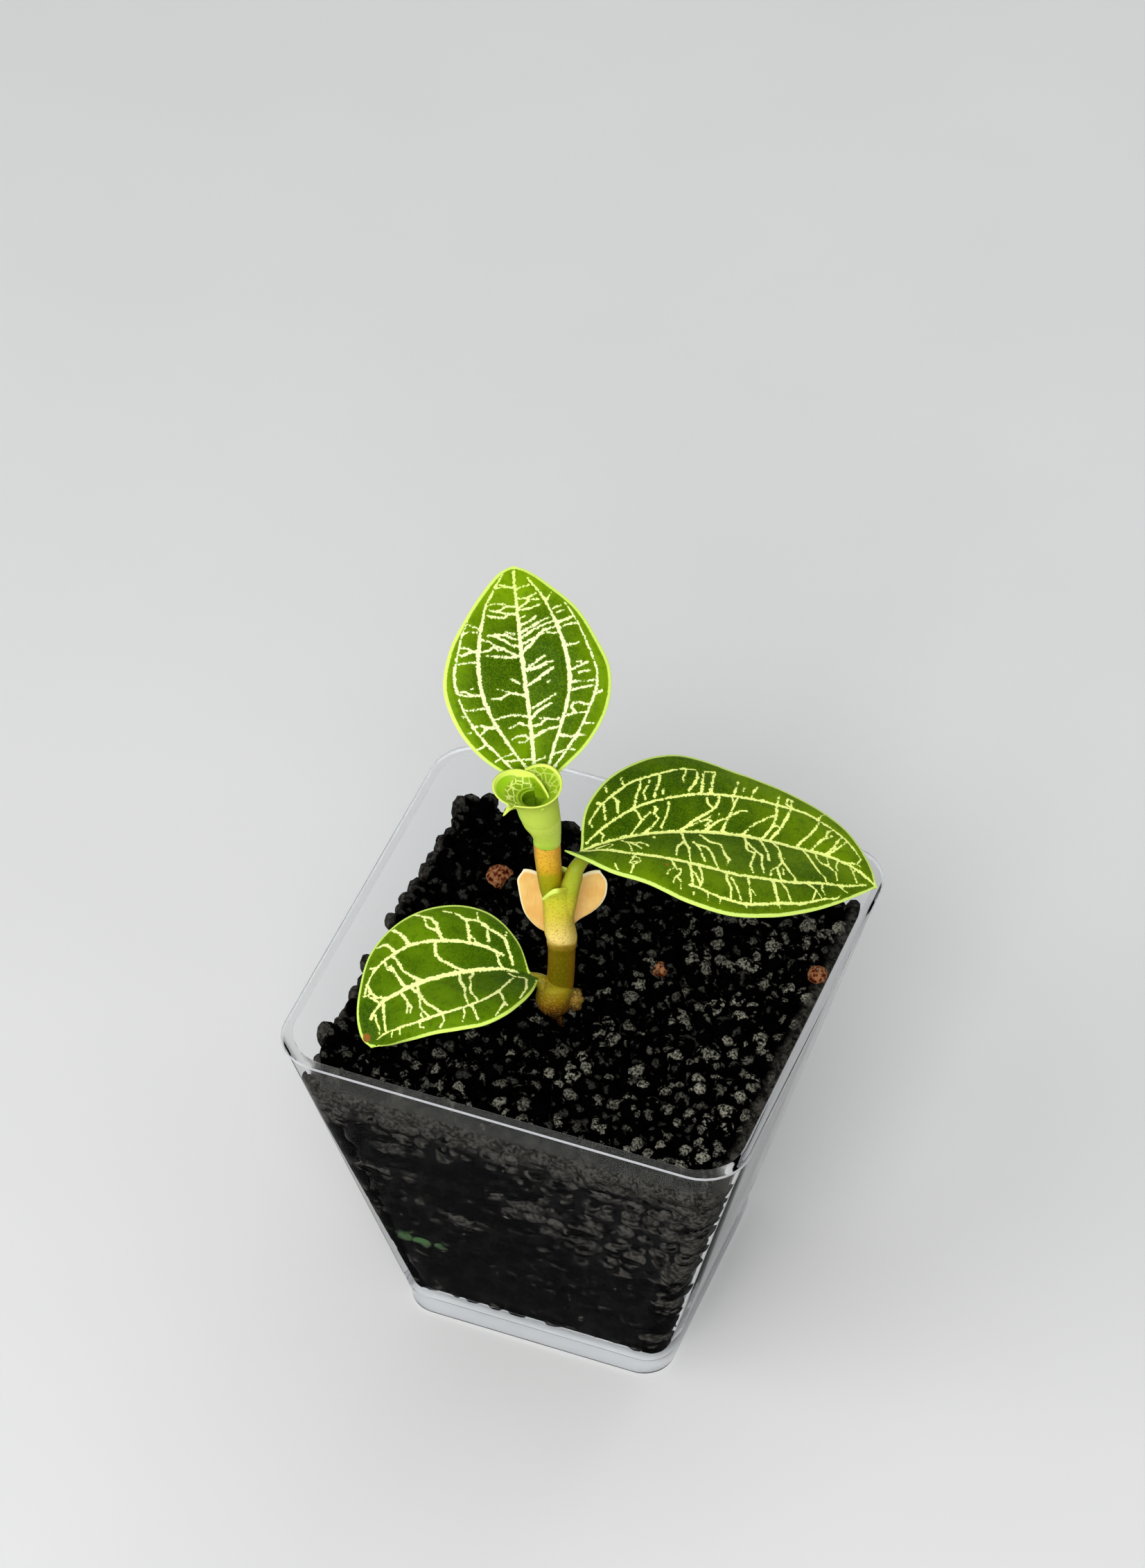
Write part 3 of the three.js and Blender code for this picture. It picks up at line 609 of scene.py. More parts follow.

# %% [markdown]
# Granules are black all through, and three are rust brown. The crowns that face the lamp carry a
# painted highlight, pale and mottled, stronger towards the right. Behind the front wall a grey film
# lies on them, dense near the rim and in patches below it, and one patch is green with moss. The
# lower part of each ball there stays black as painted shade. Each mesh point holds how strong its
# painted highlight is, how rusty it is and how much film it takes, and noise in the finish breaks
# those even values up into grit.

# %% The granules' finish
def film_colour(tree, colour, pressed, grit):
    """Lays the grey film over a colour: where the cover is high it joins up, and where it is low
    only scattered patches are left. The noise is flattened, so patches and gaps lie level."""
    flat = add(tree, "ShaderNodeMapping", {"Vector": place_of(tree), "Scale": (1, 1, 1.6)})
    crumb = noise(tree, 2.0, detail=1, vector=flat.outputs["Vector"])
    crumb = maths(tree, "ADD", crumb, scaled(tree, grit, -0.015, 0.015))
    crumb = maths(tree, "ADD", crumb, scaled(tree, read(tree, "cover"), 0.0, 0.42))
    film = maths(tree, "MULTIPLY", pressed, fade(tree, crumb, 0.61, 0.66))
    clouds = maths(tree, "ADD", grit, scaled(tree, noise(tree, 2.6), -0.2, 0.2))
    grey = blend(tree, fade(tree, clouds, 0.36, 0.66), paint(25, 24, 22), paint(66, 64, 59))
    grey = blend(tree, read(tree, "moss"), grey, paint(58, 86, 50))
    return blend(tree, film, colour, grey)


def make_granule_finish():
    """Black grit, a painted highlight on the crowns, the grey film at the wall, and rust."""
    material, tree, shader = new_finish("black_granules", roughness=0.7, specular_ior_level=0.0)
    grit = noise(tree, 0.5, detail=5)
    # Painted highlight: pale patches on the crowns that face the lamp, mottled by noise.
    highlight = maths(tree, "ADD", read(tree, "crown_highlight"), scaled(tree, noise(tree, 1.4, detail=3), -1.6, 1.6))
    mottle = fade(tree, noise(tree, 0.3, detail=4), 0.38, 0.64)
    highlight_grey = blend(tree, read(tree, "highlight_strength"), paint(46, 46, 43), paint(146, 143, 128))
    highlight_grey = blend(tree, mottle, paint(26, 25, 22), highlight_grey)
    colour = blend(tree, fade(tree, highlight, 0.5, 0.72), paint(2, 2, 2), highlight_grey)
    colour = film_colour(tree, colour, read(tree, "pressed"), grit)
    ochre = blend(tree, fade(tree, grit, 0.42, 0.6), paint(86, 34, 14), paint(150, 104, 70))
    rusty = maths(tree, "MULTIPLY", read(tree, "rust"), fade(tree, grit, 0.3, 0.45))
    colour = blend(tree, rusty, colour, ochre)
    feed(tree, shader, "Base Color", colour)
    bump(tree, shader, grit, 0.3, 0.9)
    return material


black_granules = make_granule_finish()

# %% Making the granules
RUSTY = on_plant([-8.6, 13.3, 34.4], [25.6, 8.7, 8.5], [52.3, 52.0, 52.0]), np.array([1.8, 1.4, 1.3])
# Painted highlight on the crowns: the way a crown faces to catch it, the side where it grows stronger,
# and how much of it there is.
HIGHLIGHT_FROM, HIGHLIGHT_SIDE = np.array([0.1, -0.3, 1.0]), np.array([0.8, -0.6, 0.0])
HIGHLIGHT_FACING, HIGHLIGHT_ACROSS, HIGHLIGHT_LEAST, HIGHLIGHT_MORE, HIGHLIGHT_POWER = (0.35, 1.0), (-30, 22), 0.45, 0.5, 1.5
# The first pair: where a ball faces down past these, painted shade keeps it black.
UNDERSIDE_SHADE_FACING, FILM_OVER_ALL, FILM_FRONT = (-0.62, -0.28), (0.75, 1.0), (4, 2)
FILM_RIM, FILM_RIGHT, FILM_RIGHT_RISE, FILM_RIGHT_SHARE = (40, 51), (-4, 20), (18, 34), 0.6
FILM_PATCHES = [
    # x, height, half width and half height of patches on the front wall; the first one is moss
    (-15.3, 18.0, 3.4, 1.2), (2.3, 34.4, 5.0, 2.6), (-7.4, 26.5, 4.0, 1.1), (-14.9, 28.3, 1.8, 1.3),
    (-11.0, 42.0, 2.6, 1.2), (-17.3, 40.8, 2.2, 1.6), (-17.4, 34.7, 3.6, 1.0), (-24.6, 34.0, 2.0, 1.2),
    (-23.9, 27.9, 1.6, 1.2), (-22.3, 21.3, 1.2, 1.6), (22.5, 29.7, 3.0, 2.2), (20.9, 19.6, 2.0, 1.5),
    (24.9, 37.8, 3.0, 1.9), (18.6, 8.9, 2.4, 1.0), (26.6, 45.8, 3.4, 2.4), (10.0, 30.0, 2.4, 1.0),
]


def film_values(points):
    """How much film covers each point: all of it near the rim, more at the right, and the listed
    patches, which lie on the front wall alone."""
    x, y, z = np.moveaxis(points, -1, 0)
    right = FILM_RIGHT_SHARE * smooth_step(*FILM_RIGHT, x) * smooth_step(*FILM_RIGHT_RISE, z)
    cover = np.maximum(smooth_step(*FILM_RIM, z), right)
    front = smooth_step(*FILM_FRONT, y + cavity_half(z))
    bells = [np.exp(-(((x - place) / wide) ** 4) - ((z - height) / high) ** 4) * front
             for place, height, wide, high in FILM_PATCHES]
    return {"cover": np.maximum(cover, np.max(bells, axis=0)), "moss": bells[0]}


def make_granules(name, centres, radii):
    """All balls of one layer in one mesh, pressed to the wall. A ball's underside takes no film
    unless the cover is full, so painted shade keeps it black. The painted highlight and rust are for
    the top: the highlight where a ball faces up to the lamp, and more of it at the right, and rust on
    the first three."""
    points, directions, faces = lumpy_balls(centres, radii)
    facing, on_top = unit(directions), name == "granules_top"
    film = film_values(points)
    points, pressed = press_to_wall(points, film["cover"])
    over_all = smooth_step(*FILM_OVER_ALL, film["cover"])
    # Painted shade: the lower part of each ball gets no grey and stays black, unless the cover is full.
    pressed *= np.maximum(smooth_step(*UNDERSIDE_SHADE_FACING, facing[..., 2]), over_all)
    right_side = smooth_step(*HIGHLIGHT_ACROSS, centres @ unit(HIGHLIGHT_SIDE))[:, None]
    highlight_strength = right_side * draw.uniform(0, 1, (len(centres), 1)) ** HIGHLIGHT_POWER
    # Painted highlight where the crown faces the lamp.
    upward = smooth_step(*HIGHLIGHT_FACING, facing @ unit(HIGHLIGHT_FROM))
    crown_highlight = upward * on_top * (HIGHLIGHT_LEAST + HIGHLIGHT_MORE * highlight_strength)
    rust = (np.arange(len(centres)) < len(RUSTY[0])) * on_top * 1.0
    highlight_strength, rust = (np.broadcast_to(value, crown_highlight.shape) for value in (highlight_strength, rust[:, None]))
    values = {"crown_highlight": crown_highlight, "highlight_strength": highlight_strength, "pressed": pressed, "rust": rust, **film}
    points = points.reshape(-1, 3)
    make_piece(name, points, faces, black_granules, "black_granules", "substrate", values)


for name, layers in {"granules_top": [RUSTY, upper, lower], "granules_walls": walls}.items():
    make_granules(name, *(np.concatenate(column) for column in zip(*layers)))

# %% [markdown]
# The core fills the middle, a little inside the granules, so no light comes through the bed. Its
# top follows the bed's slope, its surface is broken up by noise, and near the rim the grey film
# covers it too, so that no black shows between the granules there.

# %% The dark core
CORE_INSET, CORE_DEPTH, CORE_RINGS = 0.45, 1.6, 24
CORE_FILM = 44, 49


def make_core_finish():
    """Black grit under the grey film."""
    material, tree, shader = new_finish("granule_core", roughness=0.9, specular_ior_level=0.02)
    grit = noise(tree, 0.5, detail=5)
    colour = blend(tree, noise(tree, 0.8, detail=4), paint(2, 2, 2), paint(7, 7, 6))
    feed(tree, shader, "Base Color", film_colour(tree, colour, read(tree, "pressed"), grit))
    bump(tree, shader, noise(tree, 1.2, detail=5), 0.5)
    return material


core_z = np.linspace(FLOOR_HEIGHT + 0.12, BED_LEVEL - CORE_DEPTH, CORE_RINGS)
core_section = np.column_stack([cavity_half(core_z) - CORE_INSET, core_z])
core_section = np.concatenate([[(1, core_z[0])], core_section, [(1, core_z[-1])]])
core_points, core_faces = square_tube(core_section)
core_share = smooth_step(core_z[0], core_z[-1], core_points[:, 2])
core_points[:, 2] -= BED_SLOPE * core_points[:, 1] * core_share
core_cover = smooth_step(*CORE_FILM, core_points[:, 2])
core_film = {"cover": core_cover, "pressed": core_cover, "moss": np.zeros(len(core_points))}
make_piece("granule_core", core_points, core_faces, make_core_finish(), "black_granules", "substrate",
           core_film)

# %% [markdown]
# ## The leaves
#
# A blade hangs on its midrib, a curve in space. From each point of the midrib the blade reaches out
# to both sides, folded up a little and arched down again, as far as its outline says. The outline
# is a row of half widths in mm for each side, at stations that bunch towards base and tip.

# %% Three leaves by their measures
# The midrib is four points in mm that steer its curve. The pairs are for the left and the right
# side: how steeply the blade folds up at its base and its tip, how far its base reaches back (heel),
# and how far it turns up there (ear). The arch bends the sides down again. The bands are the shades
# of green from the midrib to the margin. Damage is a spot: mm along, mm to the left, and its size.
NARROWEST = 0.25
EAR_POWER, HEEL_POWER = 10, 6

LEFT_LEAF = {
    "midrib": [(-4.8, -7, 59.5), (-11.8, -9.1, 61.5), (-22.8, -17.4, 60), (-21.7, -22.5, 53.9)],
    "left": [0, 3.8, 7.2, 10.0, 11.2, 10.2, 8.2, 6.2, 4.2, 2.4, 0],
    "right": [0, 0.3, 4.7, 8.9, 11.1, 11.3, 9.3, 5.6, 3.0, 1.3, 0],
    "fold_base": (0.45, 0.5), "fold_tip": (0.2, 0.2), "arch": 0.2,
    "heel": (0.8, 0.1), "ear": (0, 0),
    "bands": [0.34, 0.34, 0.34, 0.36, 0.38, 0.42, 0.48], "damage": [(24.9, -0.9, 0.7)],
    "rows": 236, "columns": 176,
}

RIGHT_LEAF = {
    "midrib": [(0.6, -4.6, 81.9), (7.4, 3.1, 84.6), (28.6, 9.9, 82.6), (37.4, 7.2, 77.9)],
    "left": [0, 1.3, 6.3, 10.7, 12.9, 10.7, 8.6, 6.2, 3.0, 0.8, 0],
    "right": [0, 2.3, 6.6, 9.7, 13.7, 15.3, 13.7, 10.4, 6.5, 2.6, 0],
    "fold_base": (0.35, 0.25), "fold_tip": (0.1, 0.1), "arch": 0.15,
    "heel": (0.2, 1.8), "ear": (0, 2.4),
    "bands": [0.12, 0.12, 0.1, 0.1, 0.14, 0.24, 0.36], "damage": [(11, -7.2, 0.3)],
    "rows": 320, "columns": 200,
}

TOP_LEAF = {
    "midrib": [(-6.1, -4, 90.6), (-7.5, -0.3, 98.6), (-12.3, 5.8, 106.2), (-16.1, 13.9, 110.7)],
    "left": [0, 1.8, 5.0, 7.9, 10.0, 10.8, 9.4, 6.6, 3.9, 1.8, 0],
    "right": [0, 1.7, 4.3, 7.7, 10.3, 11.1, 9.7, 7.7, 4.6, 2.0, 0],
    "fold_base": (0.15, 0.15), "fold_tip": (0.1, 0.1), "arch": 0.1,
    "heel": (0, 0), "ear": (0, 0),
    "bands": [0.1, 0.1, 0.12, 0.2, 0.36, 0.56, 0.75], "damage": [],
    "rows": 252, "columns": 176,
}


# %% The blade as a function of two parameters
def midrib_frame(leaf, t):
    """Point of the midrib (a cubic Bezier curve) at share t, its direction, the level side to its
    left, and the normal."""
    a, b, c, d = np.array(leaf["midrib"], float)
    t = np.asarray(t, float)[..., None]
    point = (1 - t) ** 3 * a + 3 * (1 - t) ** 2 * t * b + 3 * (1 - t) * t**2 * c + t**3 * d
    ahead = unit((1 - t) ** 2 * (b - a) + 2 * (1 - t) * t * (c - b) + t**2 * (d - c))
    side = unit(np.cross(UP, ahead))
    return point, ahead, side, np.cross(ahead, side)


def midrib_length(leaf, t):
    """Length in mm of the midrib from its base to share t."""
    fine = np.linspace(0, 1, 2001)
    point = midrib_frame(leaf, fine)[0]
    length = np.concatenate([[0], np.cumsum(np.linalg.norm(np.diff(point, axis=0), axis=1))])
    return np.interp(t, fine, length)


def blade(leaf, t, v):
    """Upper face at share t of the midrib and side v, from -1 at the right margin to 1 at the left:
    midrib + side x reach + normal x (reach (fold - arch v^2) + ear (1 - t)^EAR_POWER |v|)
    - ahead x heel (1 - t)^HEEL_POWER |v|. Also how far aside each point lies in mm."""
    point, ahead, side, normal = midrib_frame(leaf, t)
    station = np.arccos(np.clip(1 - 2 * t, -1, 1)) / np.pi
    left = v > 0
    fold_base, fold_tip, ear, heel = (
        np.where(left, *leaf[name]) for name in ("fold_base", "fold_tip", "ear", "heel"))
    half = np.where(left, spline(leaf["left"], station), spline(leaf["right"], station))
    reach = np.abs(v) * np.maximum(half, NARROWEST)
    fold = fold_base + (fold_tip - fold_base) * t
    rise = reach * (fold - leaf["arch"] * v**2) + ear * (1 - t) ** EAR_POWER * np.abs(v)
    heel = heel * (1 - t) ** HEEL_POWER * np.abs(v)
    aside = np.sign(v) * reach
    surface = point + side * aside[..., None] + normal * rise[..., None] - ahead * heel[..., None]
    return surface, aside


for leaf_name, leaf in (("left", LEFT_LEAF), ("right", RIGHT_LEAF), ("top", TOP_LEAF)):
    print(f"{leaf_name} leaf: midrib {midrib_length(leaf, 1.0):.1f} mm long")

# %% [markdown]
# ### Veins
#
# The pale net is what makes this plant a jewel orchid. Each leaf has five or six long veins from
# base to tip, and between them short forked ones, like small strokes of lightning. A vein is a
# route of points on the flat leaf, along the midrib and to its left, with a width. The mesh stores
# how far each point lies outside the nearest vein. That measure changes evenly, so its zero line
# stays sharp between the mesh's points.
#
# A long vein is written as its three widths, at base, middle and tip, and its points in mm. There
# are over two hundred cross veins, so each is one short row of whole numbers: its width in
# hundredths of a mm, and then along and left, point after point, in tenths of a mm.

# %% Veins of the top leaf
TOP_LONG = [
    ((0.36, 0.46, 0.2), [(2.0, 0), (9, 0.05), (16, 0.1), (22, 0), (28.4, 0)]),
    ((0.3, 0.46, 0.16), [(2.4, 0.8), (4.7, 2.4), (7.2, 3.8), (9.5, 4.95), (12, 5.75), (14.5, 6.0),
         (17, 5.85), (19.7, 5.35), (22, 4.7), (24, 4.0), (25.8, 2.9), (28, 1.5)]),
    ((0.26, 0.46, 0.16), [(2.6, -1.8), (5.3, -2.75), (8, -3.9), (11, -5.05), (13.5, -5.6), (16, -5.65),
         (18.5, -5.35), (21.3, -4.7), (24, -3.75), (25.8, -2.8), (27.4, -1.7)]),
    ((0.22, 0.26, 0.12), [(2.6, 2.9), (4.2, 4.2), (6.2, 5.9), (8.2, 7.25), (10.4, 8.3), (12.6, 9.0)]),
    ((0.3, 0.24, 0.08), [(13.2, 9.0), (14.6, 9.25), (16.3, 9.05), (18.5, 8.25), (20.5, 7.5),
         (22.2, 6.6)]),
    ((0.24, 0.28, 0.12), [(2.5, -2.5), (4.5, -4.2), (6.6, -5.9), (9, -7.4), (11.2, -8.6), (13, -9.2),
         (15, -9.2), (18, -8.45), (21, -7.5), (23.6, -6.3)]),
]
TOP_CROSS = [
    (20, 36, 2, 38, 12, 36, 19), (28, 64, 3, 69, 9, 69, 19, 66, 26), (20, 65, 4, 60, 10, 61, 17),
    (26, 81, 4, 86, 15, 82, 23, 81, 29), (26, 92, 1, 96, 12, 97, 26, 95, 40, 94, 48),
    (30, 120, 1, 124, 15, 126, 23, 120, 35, 121, 48), (24, 126, 23, 130, 30, 132, 39),
    (30, 137, 9, 140, 14, 144, 19), (32, 172, 1, 171, 15, 173, 28, 176, 46),
    (30, 173, 9, 182, 22, 188, 35, 194, 42, 197, 53),
    (26, 182, 22, 182, 31, 187, 36, 182, 43, 182, 53),
    (30, 184, 1, 186, 12, 194, 23, 200, 33, 202, 42), (26, 193, 3, 196, 12, 201, 20, 202, 34),
    (22, 201, 2, 201, 10, 204, 19), (26, 227, 2, 227, 11, 222, 19, 224, 29, 227, 39),
    (22, 227, 11, 229, 19, 232, 29, 234, 36), (24, 237, 2, 237, 13, 233, 22, 232, 29),
    (16, 240, 15, 242, 26, 241, 37), (20, 262, 1, 263, 12, 263, 24), (15, 265, 13, 267, 23),
    (22, 38, 49, 42, 41, 44, 36, 47, 25), (24, 37, 18, 37, 34), (22, 56, 72, 62, 60),
    (28, 83, 46, 85, 57, 80, 62, 75, 68), (26, 85, 57, 88, 67, 87, 75),
    (20, 109, 55, 110, 67, 110, 82), (28, 127, 63, 128, 72, 128, 79, 131, 88),
    (26, 128, 72, 134, 81, 134, 89), (18, 137, 69, 136, 73), (22, 169, 60, 170, 72, 169, 88),
    (32, 184, 58, 183, 68, 180, 79, 182, 83), (24, 184, 64, 188, 71, 191, 79),
    (24, 207, 54, 209, 64, 208, 73), (20, 212, 53, 217, 63, 219, 68), (22, 34, -2, 37, -10, 39, -15),
    (32, 65, -2, 71, -12, 75, -22, 76, -34), (22, 80, -2, 81, -12, 88, -19, 86, -29, 86, -36),
    (20, 88, -19, 90, -12), (30, 90, -2, 98, -9, 102, -18, 107, -28),
    (24, 103, -4, 108, -15, 112, -23, 118, -36), (36, 133, -1, 138, -13, 145, -23, 152, -37),
    (36, 152, -1, 154, -16, 159, -29, 160, -38), (28, 153, -3, 160, -12, 164, -19, 168, -28),
    (26, 135, -28, 135, -30), (32, 178, -2, 185, -13, 193, -19, 202, -31, 205, -48),
    (20, 198, -28, 197, -40, 196, -47), (30, 187, -2, 191, -12, 194, -19),
    (28, 195, -2, 203, -16, 209, -32, 213, -47), (28, 203, -3, 208, -15, 214, -29, 219, -45),
    (25, 212, -2, 215, -14, 221, -23), (18, 221, -2, 223, -9), (22, 232, -1, 232, -16, 237, -31),
    (20, 234, -1, 238, -9, 243, -15, 244, -29), (20, 247, -1, 246, -14, 252, -26),
    (18, 260, -1, 262, -10, 264, -18), (22, 42, -24, 44, -33, 46, -39),
    (36, 66, -34, 64, -44, 62, -54, 65, -60), (24, 89, -45, 91, -58, 91, -72),
    (28, 92, -59, 98, -54, 103, -56, 104, -65, 101, -72, 100, -78),
    (22, 120, -54, 122, -67, 123, -86), (22, 131, -57, 130, -73, 130, -88),
    (28, 141, -69, 143, -76, 142, -83), (22, 146, -59, 151, -74, 154, -82), (16, 156, -68, 155, -74),
    (22, 179, -56, 179, -68, 181, -74), (26, 203, -51, 206, -63, 207, -74),
    (38, 210, -49, 213, -62, 217, -71), (16, 223, -50, 226, -59), (20, 229, -45, 233, -57),
    (16, 242, -39, 252, -47), (22, 64, -60, 62, -69), (20, 77, -71, 76, -81),
    (22, 111, -86, 115, -96), (18, 47, -46, 46, -54), (18, 80, 86, 80, 79), (20, 103, 87, 102, 82),
]
print("top leaf:", len(TOP_LONG), "long veins,", len(TOP_CROSS), "cross veins")

# %% Veins of the right leaf
RIGHT_LONG = [
    ((0.3, 0.5, 0.2), [(0.5, 0), (5, -0.1), (10, -0.1), (14, -0.1), (20, -0.13), (24, -0.24),
         (28, -0.35), (31, -0.1), (33.5, 0.2), (37, 0.25), (40, 0)]),
    ((0.24, 0.36, 0.2), [(1.3, 0.7), (3, 1.5), (6, 2.9), (9.5, 4.3), (12.5, 5.0), (15.5, 5.6),
         (18.5, 5.85), (22, 5.9), (26, 5.75), (29, 5.65), (31.8, 4.8), (34.2, 3.9), (36.5, 2.4),
         (36.9, 1.9)]),
    ((0.2, 0.3, 0.16), [(2.9, 3.6), (4.6, 5.3), (6.3, 6.5), (8.4, 8.0), (10.5, 8.7), (12.2, 9.3),
         (14, 9.9), (15.9, 9.9)]),
    ((0.34, 0.5, 0.26), [(0.8, -0.5), (3.2, -1.8), (6, -3.7), (9, -5.0), (12, -6.1), (15, -7.1),
         (18, -7.9), (20.5, -8.4), (23.5, -8.3), (28, -7.6), (31, -6.5), (34, -5.0), (37, -3.4),
         (39.4, -0.9)]),
    ((0.26, 0.4, 0.16), [(13.9, -11.0), (15.5, -11.5), (17.2, -12.3), (20, -13.0), (23, -13.1),
         (25.5, -12.4), (28.5, -11.2), (31.5, -10.0), (33.7, -8.4), (35.4, -7.0), (36.9, -5.9),
         (37.1, -5.2)]),
]
RIGHT_CROSS = [
    (18, 31, 2, 36, 9, 33, 15), (24, 70, 1, 84, 15, 99, 29), (28, 81, 37, 84, 29, 87, 18),
    (26, 88, 1, 100, 9, 108, 19, 104, 28), (34, 104, 27, 107, 33, 105, 37),
    (28, 110, 6, 117, 19, 122, 34, 123, 43),
    (32, 136, 1, 150, 13, 168, 26, 179, 36, 183, 46, 184, 58), (30, 177, 35, 170, 42, 169, 51),
    (24, 143, 5, 155, 11, 170, 18, 174, 24),
    (32, 165, 1, 175, 8, 183, 16, 196, 23, 200, 36, 203, 46, 206, 58), (24, 202, 44, 199, 58),
    (26, 188, 1, 193, 14, 198, 27), (24, 201, 29, 212, 36, 218, 37), (16, 166, 8, 174, 16, 182, 15),
    (26, 184, 25, 184, 27), (24, 216, 1, 230, 19, 245, 32, 253, 38),
    (28, 243, 0, 253, 21, 255, 38, 253, 57), (32, 252, 0, 262, 18, 267, 36, 271, 56, 270, 72),
    (22, 266, 73, 263, 64, 271, 59), (20, 253, 22, 262, 21), (24, 288, 0, 299, 20, 305, 37, 307, 52),
    (24, 308, 1, 315, 19, 320, 28, 320, 38, 325, 45), (20, 320, 25, 326, 33),
    (24, 327, 2, 333, 18, 335, 29, 338, 39), (20, 332, 6, 340, 23, 345, 35),
    (20, 355, 3, 368, 10, 369, 20), (14, 368, 10, 373, 9), (24, 45, 30, 47, 42, 48, 54),
    (30, 43, 57, 49, 53), (24, 29, 36, 26, 30, 28, 24), (26, 61, 35, 64, 50, 61, 61),
    (24, 82, 40, 86, 56, 92, 69, 94, 81), (22, 96, 50, 95, 60, 101, 70, 104, 79),
    (32, 107, 53, 111, 65, 114, 75, 116, 88), (22, 117, 55, 118, 65),
    (20, 143, 75, 142, 83, 145, 91, 146, 98), (32, 148, 62, 153, 70, 158, 82, 159, 96),
    (28, 162, 58, 164, 73, 165, 91, 168, 96), (28, 173, 59, 175, 75, 178, 94), (20, 167, 96, 178, 98),
    (20, 201, 61, 204, 73, 205, 85), (24, 212, 70, 213, 76), (22, 222, 60, 224, 71, 229, 81),
    (20, 254, 58, 254, 74), (20, 305, 54, 307, 62, 311, 68), (12, 56, 70, 56, 81),
    (12, 75, 78, 74, 90), (26, 56, -7, 63, -16, 66, -25, 66, -35), (28, 63, -14, 73, -22, 79, -34),
    (26, 69, -17, 80, -19, 89, -30), (36, 99, -10, 99, -13),
    (34, 136, -1, 137, -13, 138, -22, 128, -36, 125, -53), (32, 138, -22, 143, -39, 144, -65),
    (28, 148, -24, 155, -33, 160, -45, 161, -55, 165, -66),
    (32, 155, -31, 168, -34, 173, -46, 178, -62, 183, -76),
    (34, 160, -9, 172, -22, 187, -29, 192, -46, 199, -59), (20, 199, -57, 195, -70),
    (34, 218, -3, 221, -15, 221, -26, 224, -33, 233, -34, 232, -48, 229, -63, 234, -75),
    (30, 221, -15, 231, -26, 244, -39, 245, -56, 250, -72),
    (32, 238, -4, 247, -20, 252, -35, 254, -44),
    (32, 256, -4, 266, -18, 270, -32, 273, -42, 283, -52, 298, -66),
    (30, 273, -42, 267, -56, 273, -69, 279, -77), (26, 267, -19, 268, -34, 275, -33),
    (24, 267, -55, 260, -62, 260, -73), (16, 276, -55, 278, -64),
    (28, 297, -4, 310, -19, 320, -31, 336, -40, 344, -48),
    (24, 314, -1, 317, -12, 326, -19, 336, -17, 330, -3), (18, 336, -17, 348, -22, 355, -34),
    (20, 345, -1, 345, -10, 350, -19), (18, 365, -1, 373, -9, 382, -18), (15, 370, 0, 369, -9),
    (20, 69, -43, 64, -53, 59, -58, 66, -64, 75, -60, 73, -53, 69, -49), (16, 60, -58, 74, -60),
    (22, 64, -65, 58, -77), (20, 40, -56, 42, -66),
    (26, 117, -61, 121, -75, 124, -83, 130, -82, 127, -92, 120, -97, 116, -105),
    (20, 119, -80, 112, -82, 109, -89), (22, 123, -97, 128, -104, 126, -117),
    (36, 142, -69, 144, -86, 145, -110), (28, 155, -73, 159, -90, 160, -105, 155, -114),
    (20, 148, -87, 153, -100, 158, -113), (36, 196, -83, 196, -97, 203, -110, 204, -130),
    (30, 203, -92, 212, -108, 221, -130), (36, 227, -85, 231, -102, 236, -126),
    (20, 235, -106, 242, -115), (52, 264, -80, 270, -93, 275, -105, 280, -113),
    (30, 277, -79, 288, -90, 300, -104), (22, 318, -64, 333, -69, 346, -74),
    (20, 338, -53, 340, -62, 348, -66), (26, 332, -70, 333, -85), (16, 362, -41, 378, -42),
    (30, 146, -124, 146, -126), (16, 168, -125, 168, -136), (16, 188, -129, 187, -138),
    (28, 279, -114, 286, -122), (20, 230, -131, 230, -137),
    (14, 20, -7, 30, -9, 41, -8, 44, -13, 34, -17),
]
print("right leaf:", len(RIGHT_LONG), "long veins,", len(RIGHT_CROSS), "cross veins")

# %% Veins of the left leaf
LEFT_LONG = [
    ((0.22, 0.52, 0.24), [(2.2, 0.1), (4, -0.2), (8, -0.35), (11, -0.5), (14, -0.8), (18, -1.2),
         (20.6, -1.65), (22.7, -1.4)]),
    ((0.26, 0.44, 0.14), [(3.0, 1.8), (4.3, 3.7), (6.0, 5.7), (8.2, 6.8), (10.3, 7.15), (12.8, 6.9),
         (15.8, 6.1), (18.5, 5.0), (20.4, 3.8), (22.2, 2.5), (23.2, 1.5), (24.7, 0.5)]),
    ((0.26, 0.46, 0.16), [(4.0, -2.0), (6.5, -3.5), (9, -4.6), (11, -5.4), (13.7, -6.25), (16.5, -6.3),
         (19, -5.8), (21.3, -4.1)]),
    ((0.24, 0.36, 0.16), [(2.8, -0.8), (3.4, -2.8), (3.8, -4.4), (5.5, -6.0), (6.4, -7.2), (7.7, -7.8),
         (8.5, -9.0), (9.7, -10.0)]),
    ((0.3, 0.24, 0.12), [(3.4, 0.6), (2.6, 1.5), (1.4, 1.5), (1.4, 2.8), (1.7, 4.5), (2.7, 6.6)]),
]
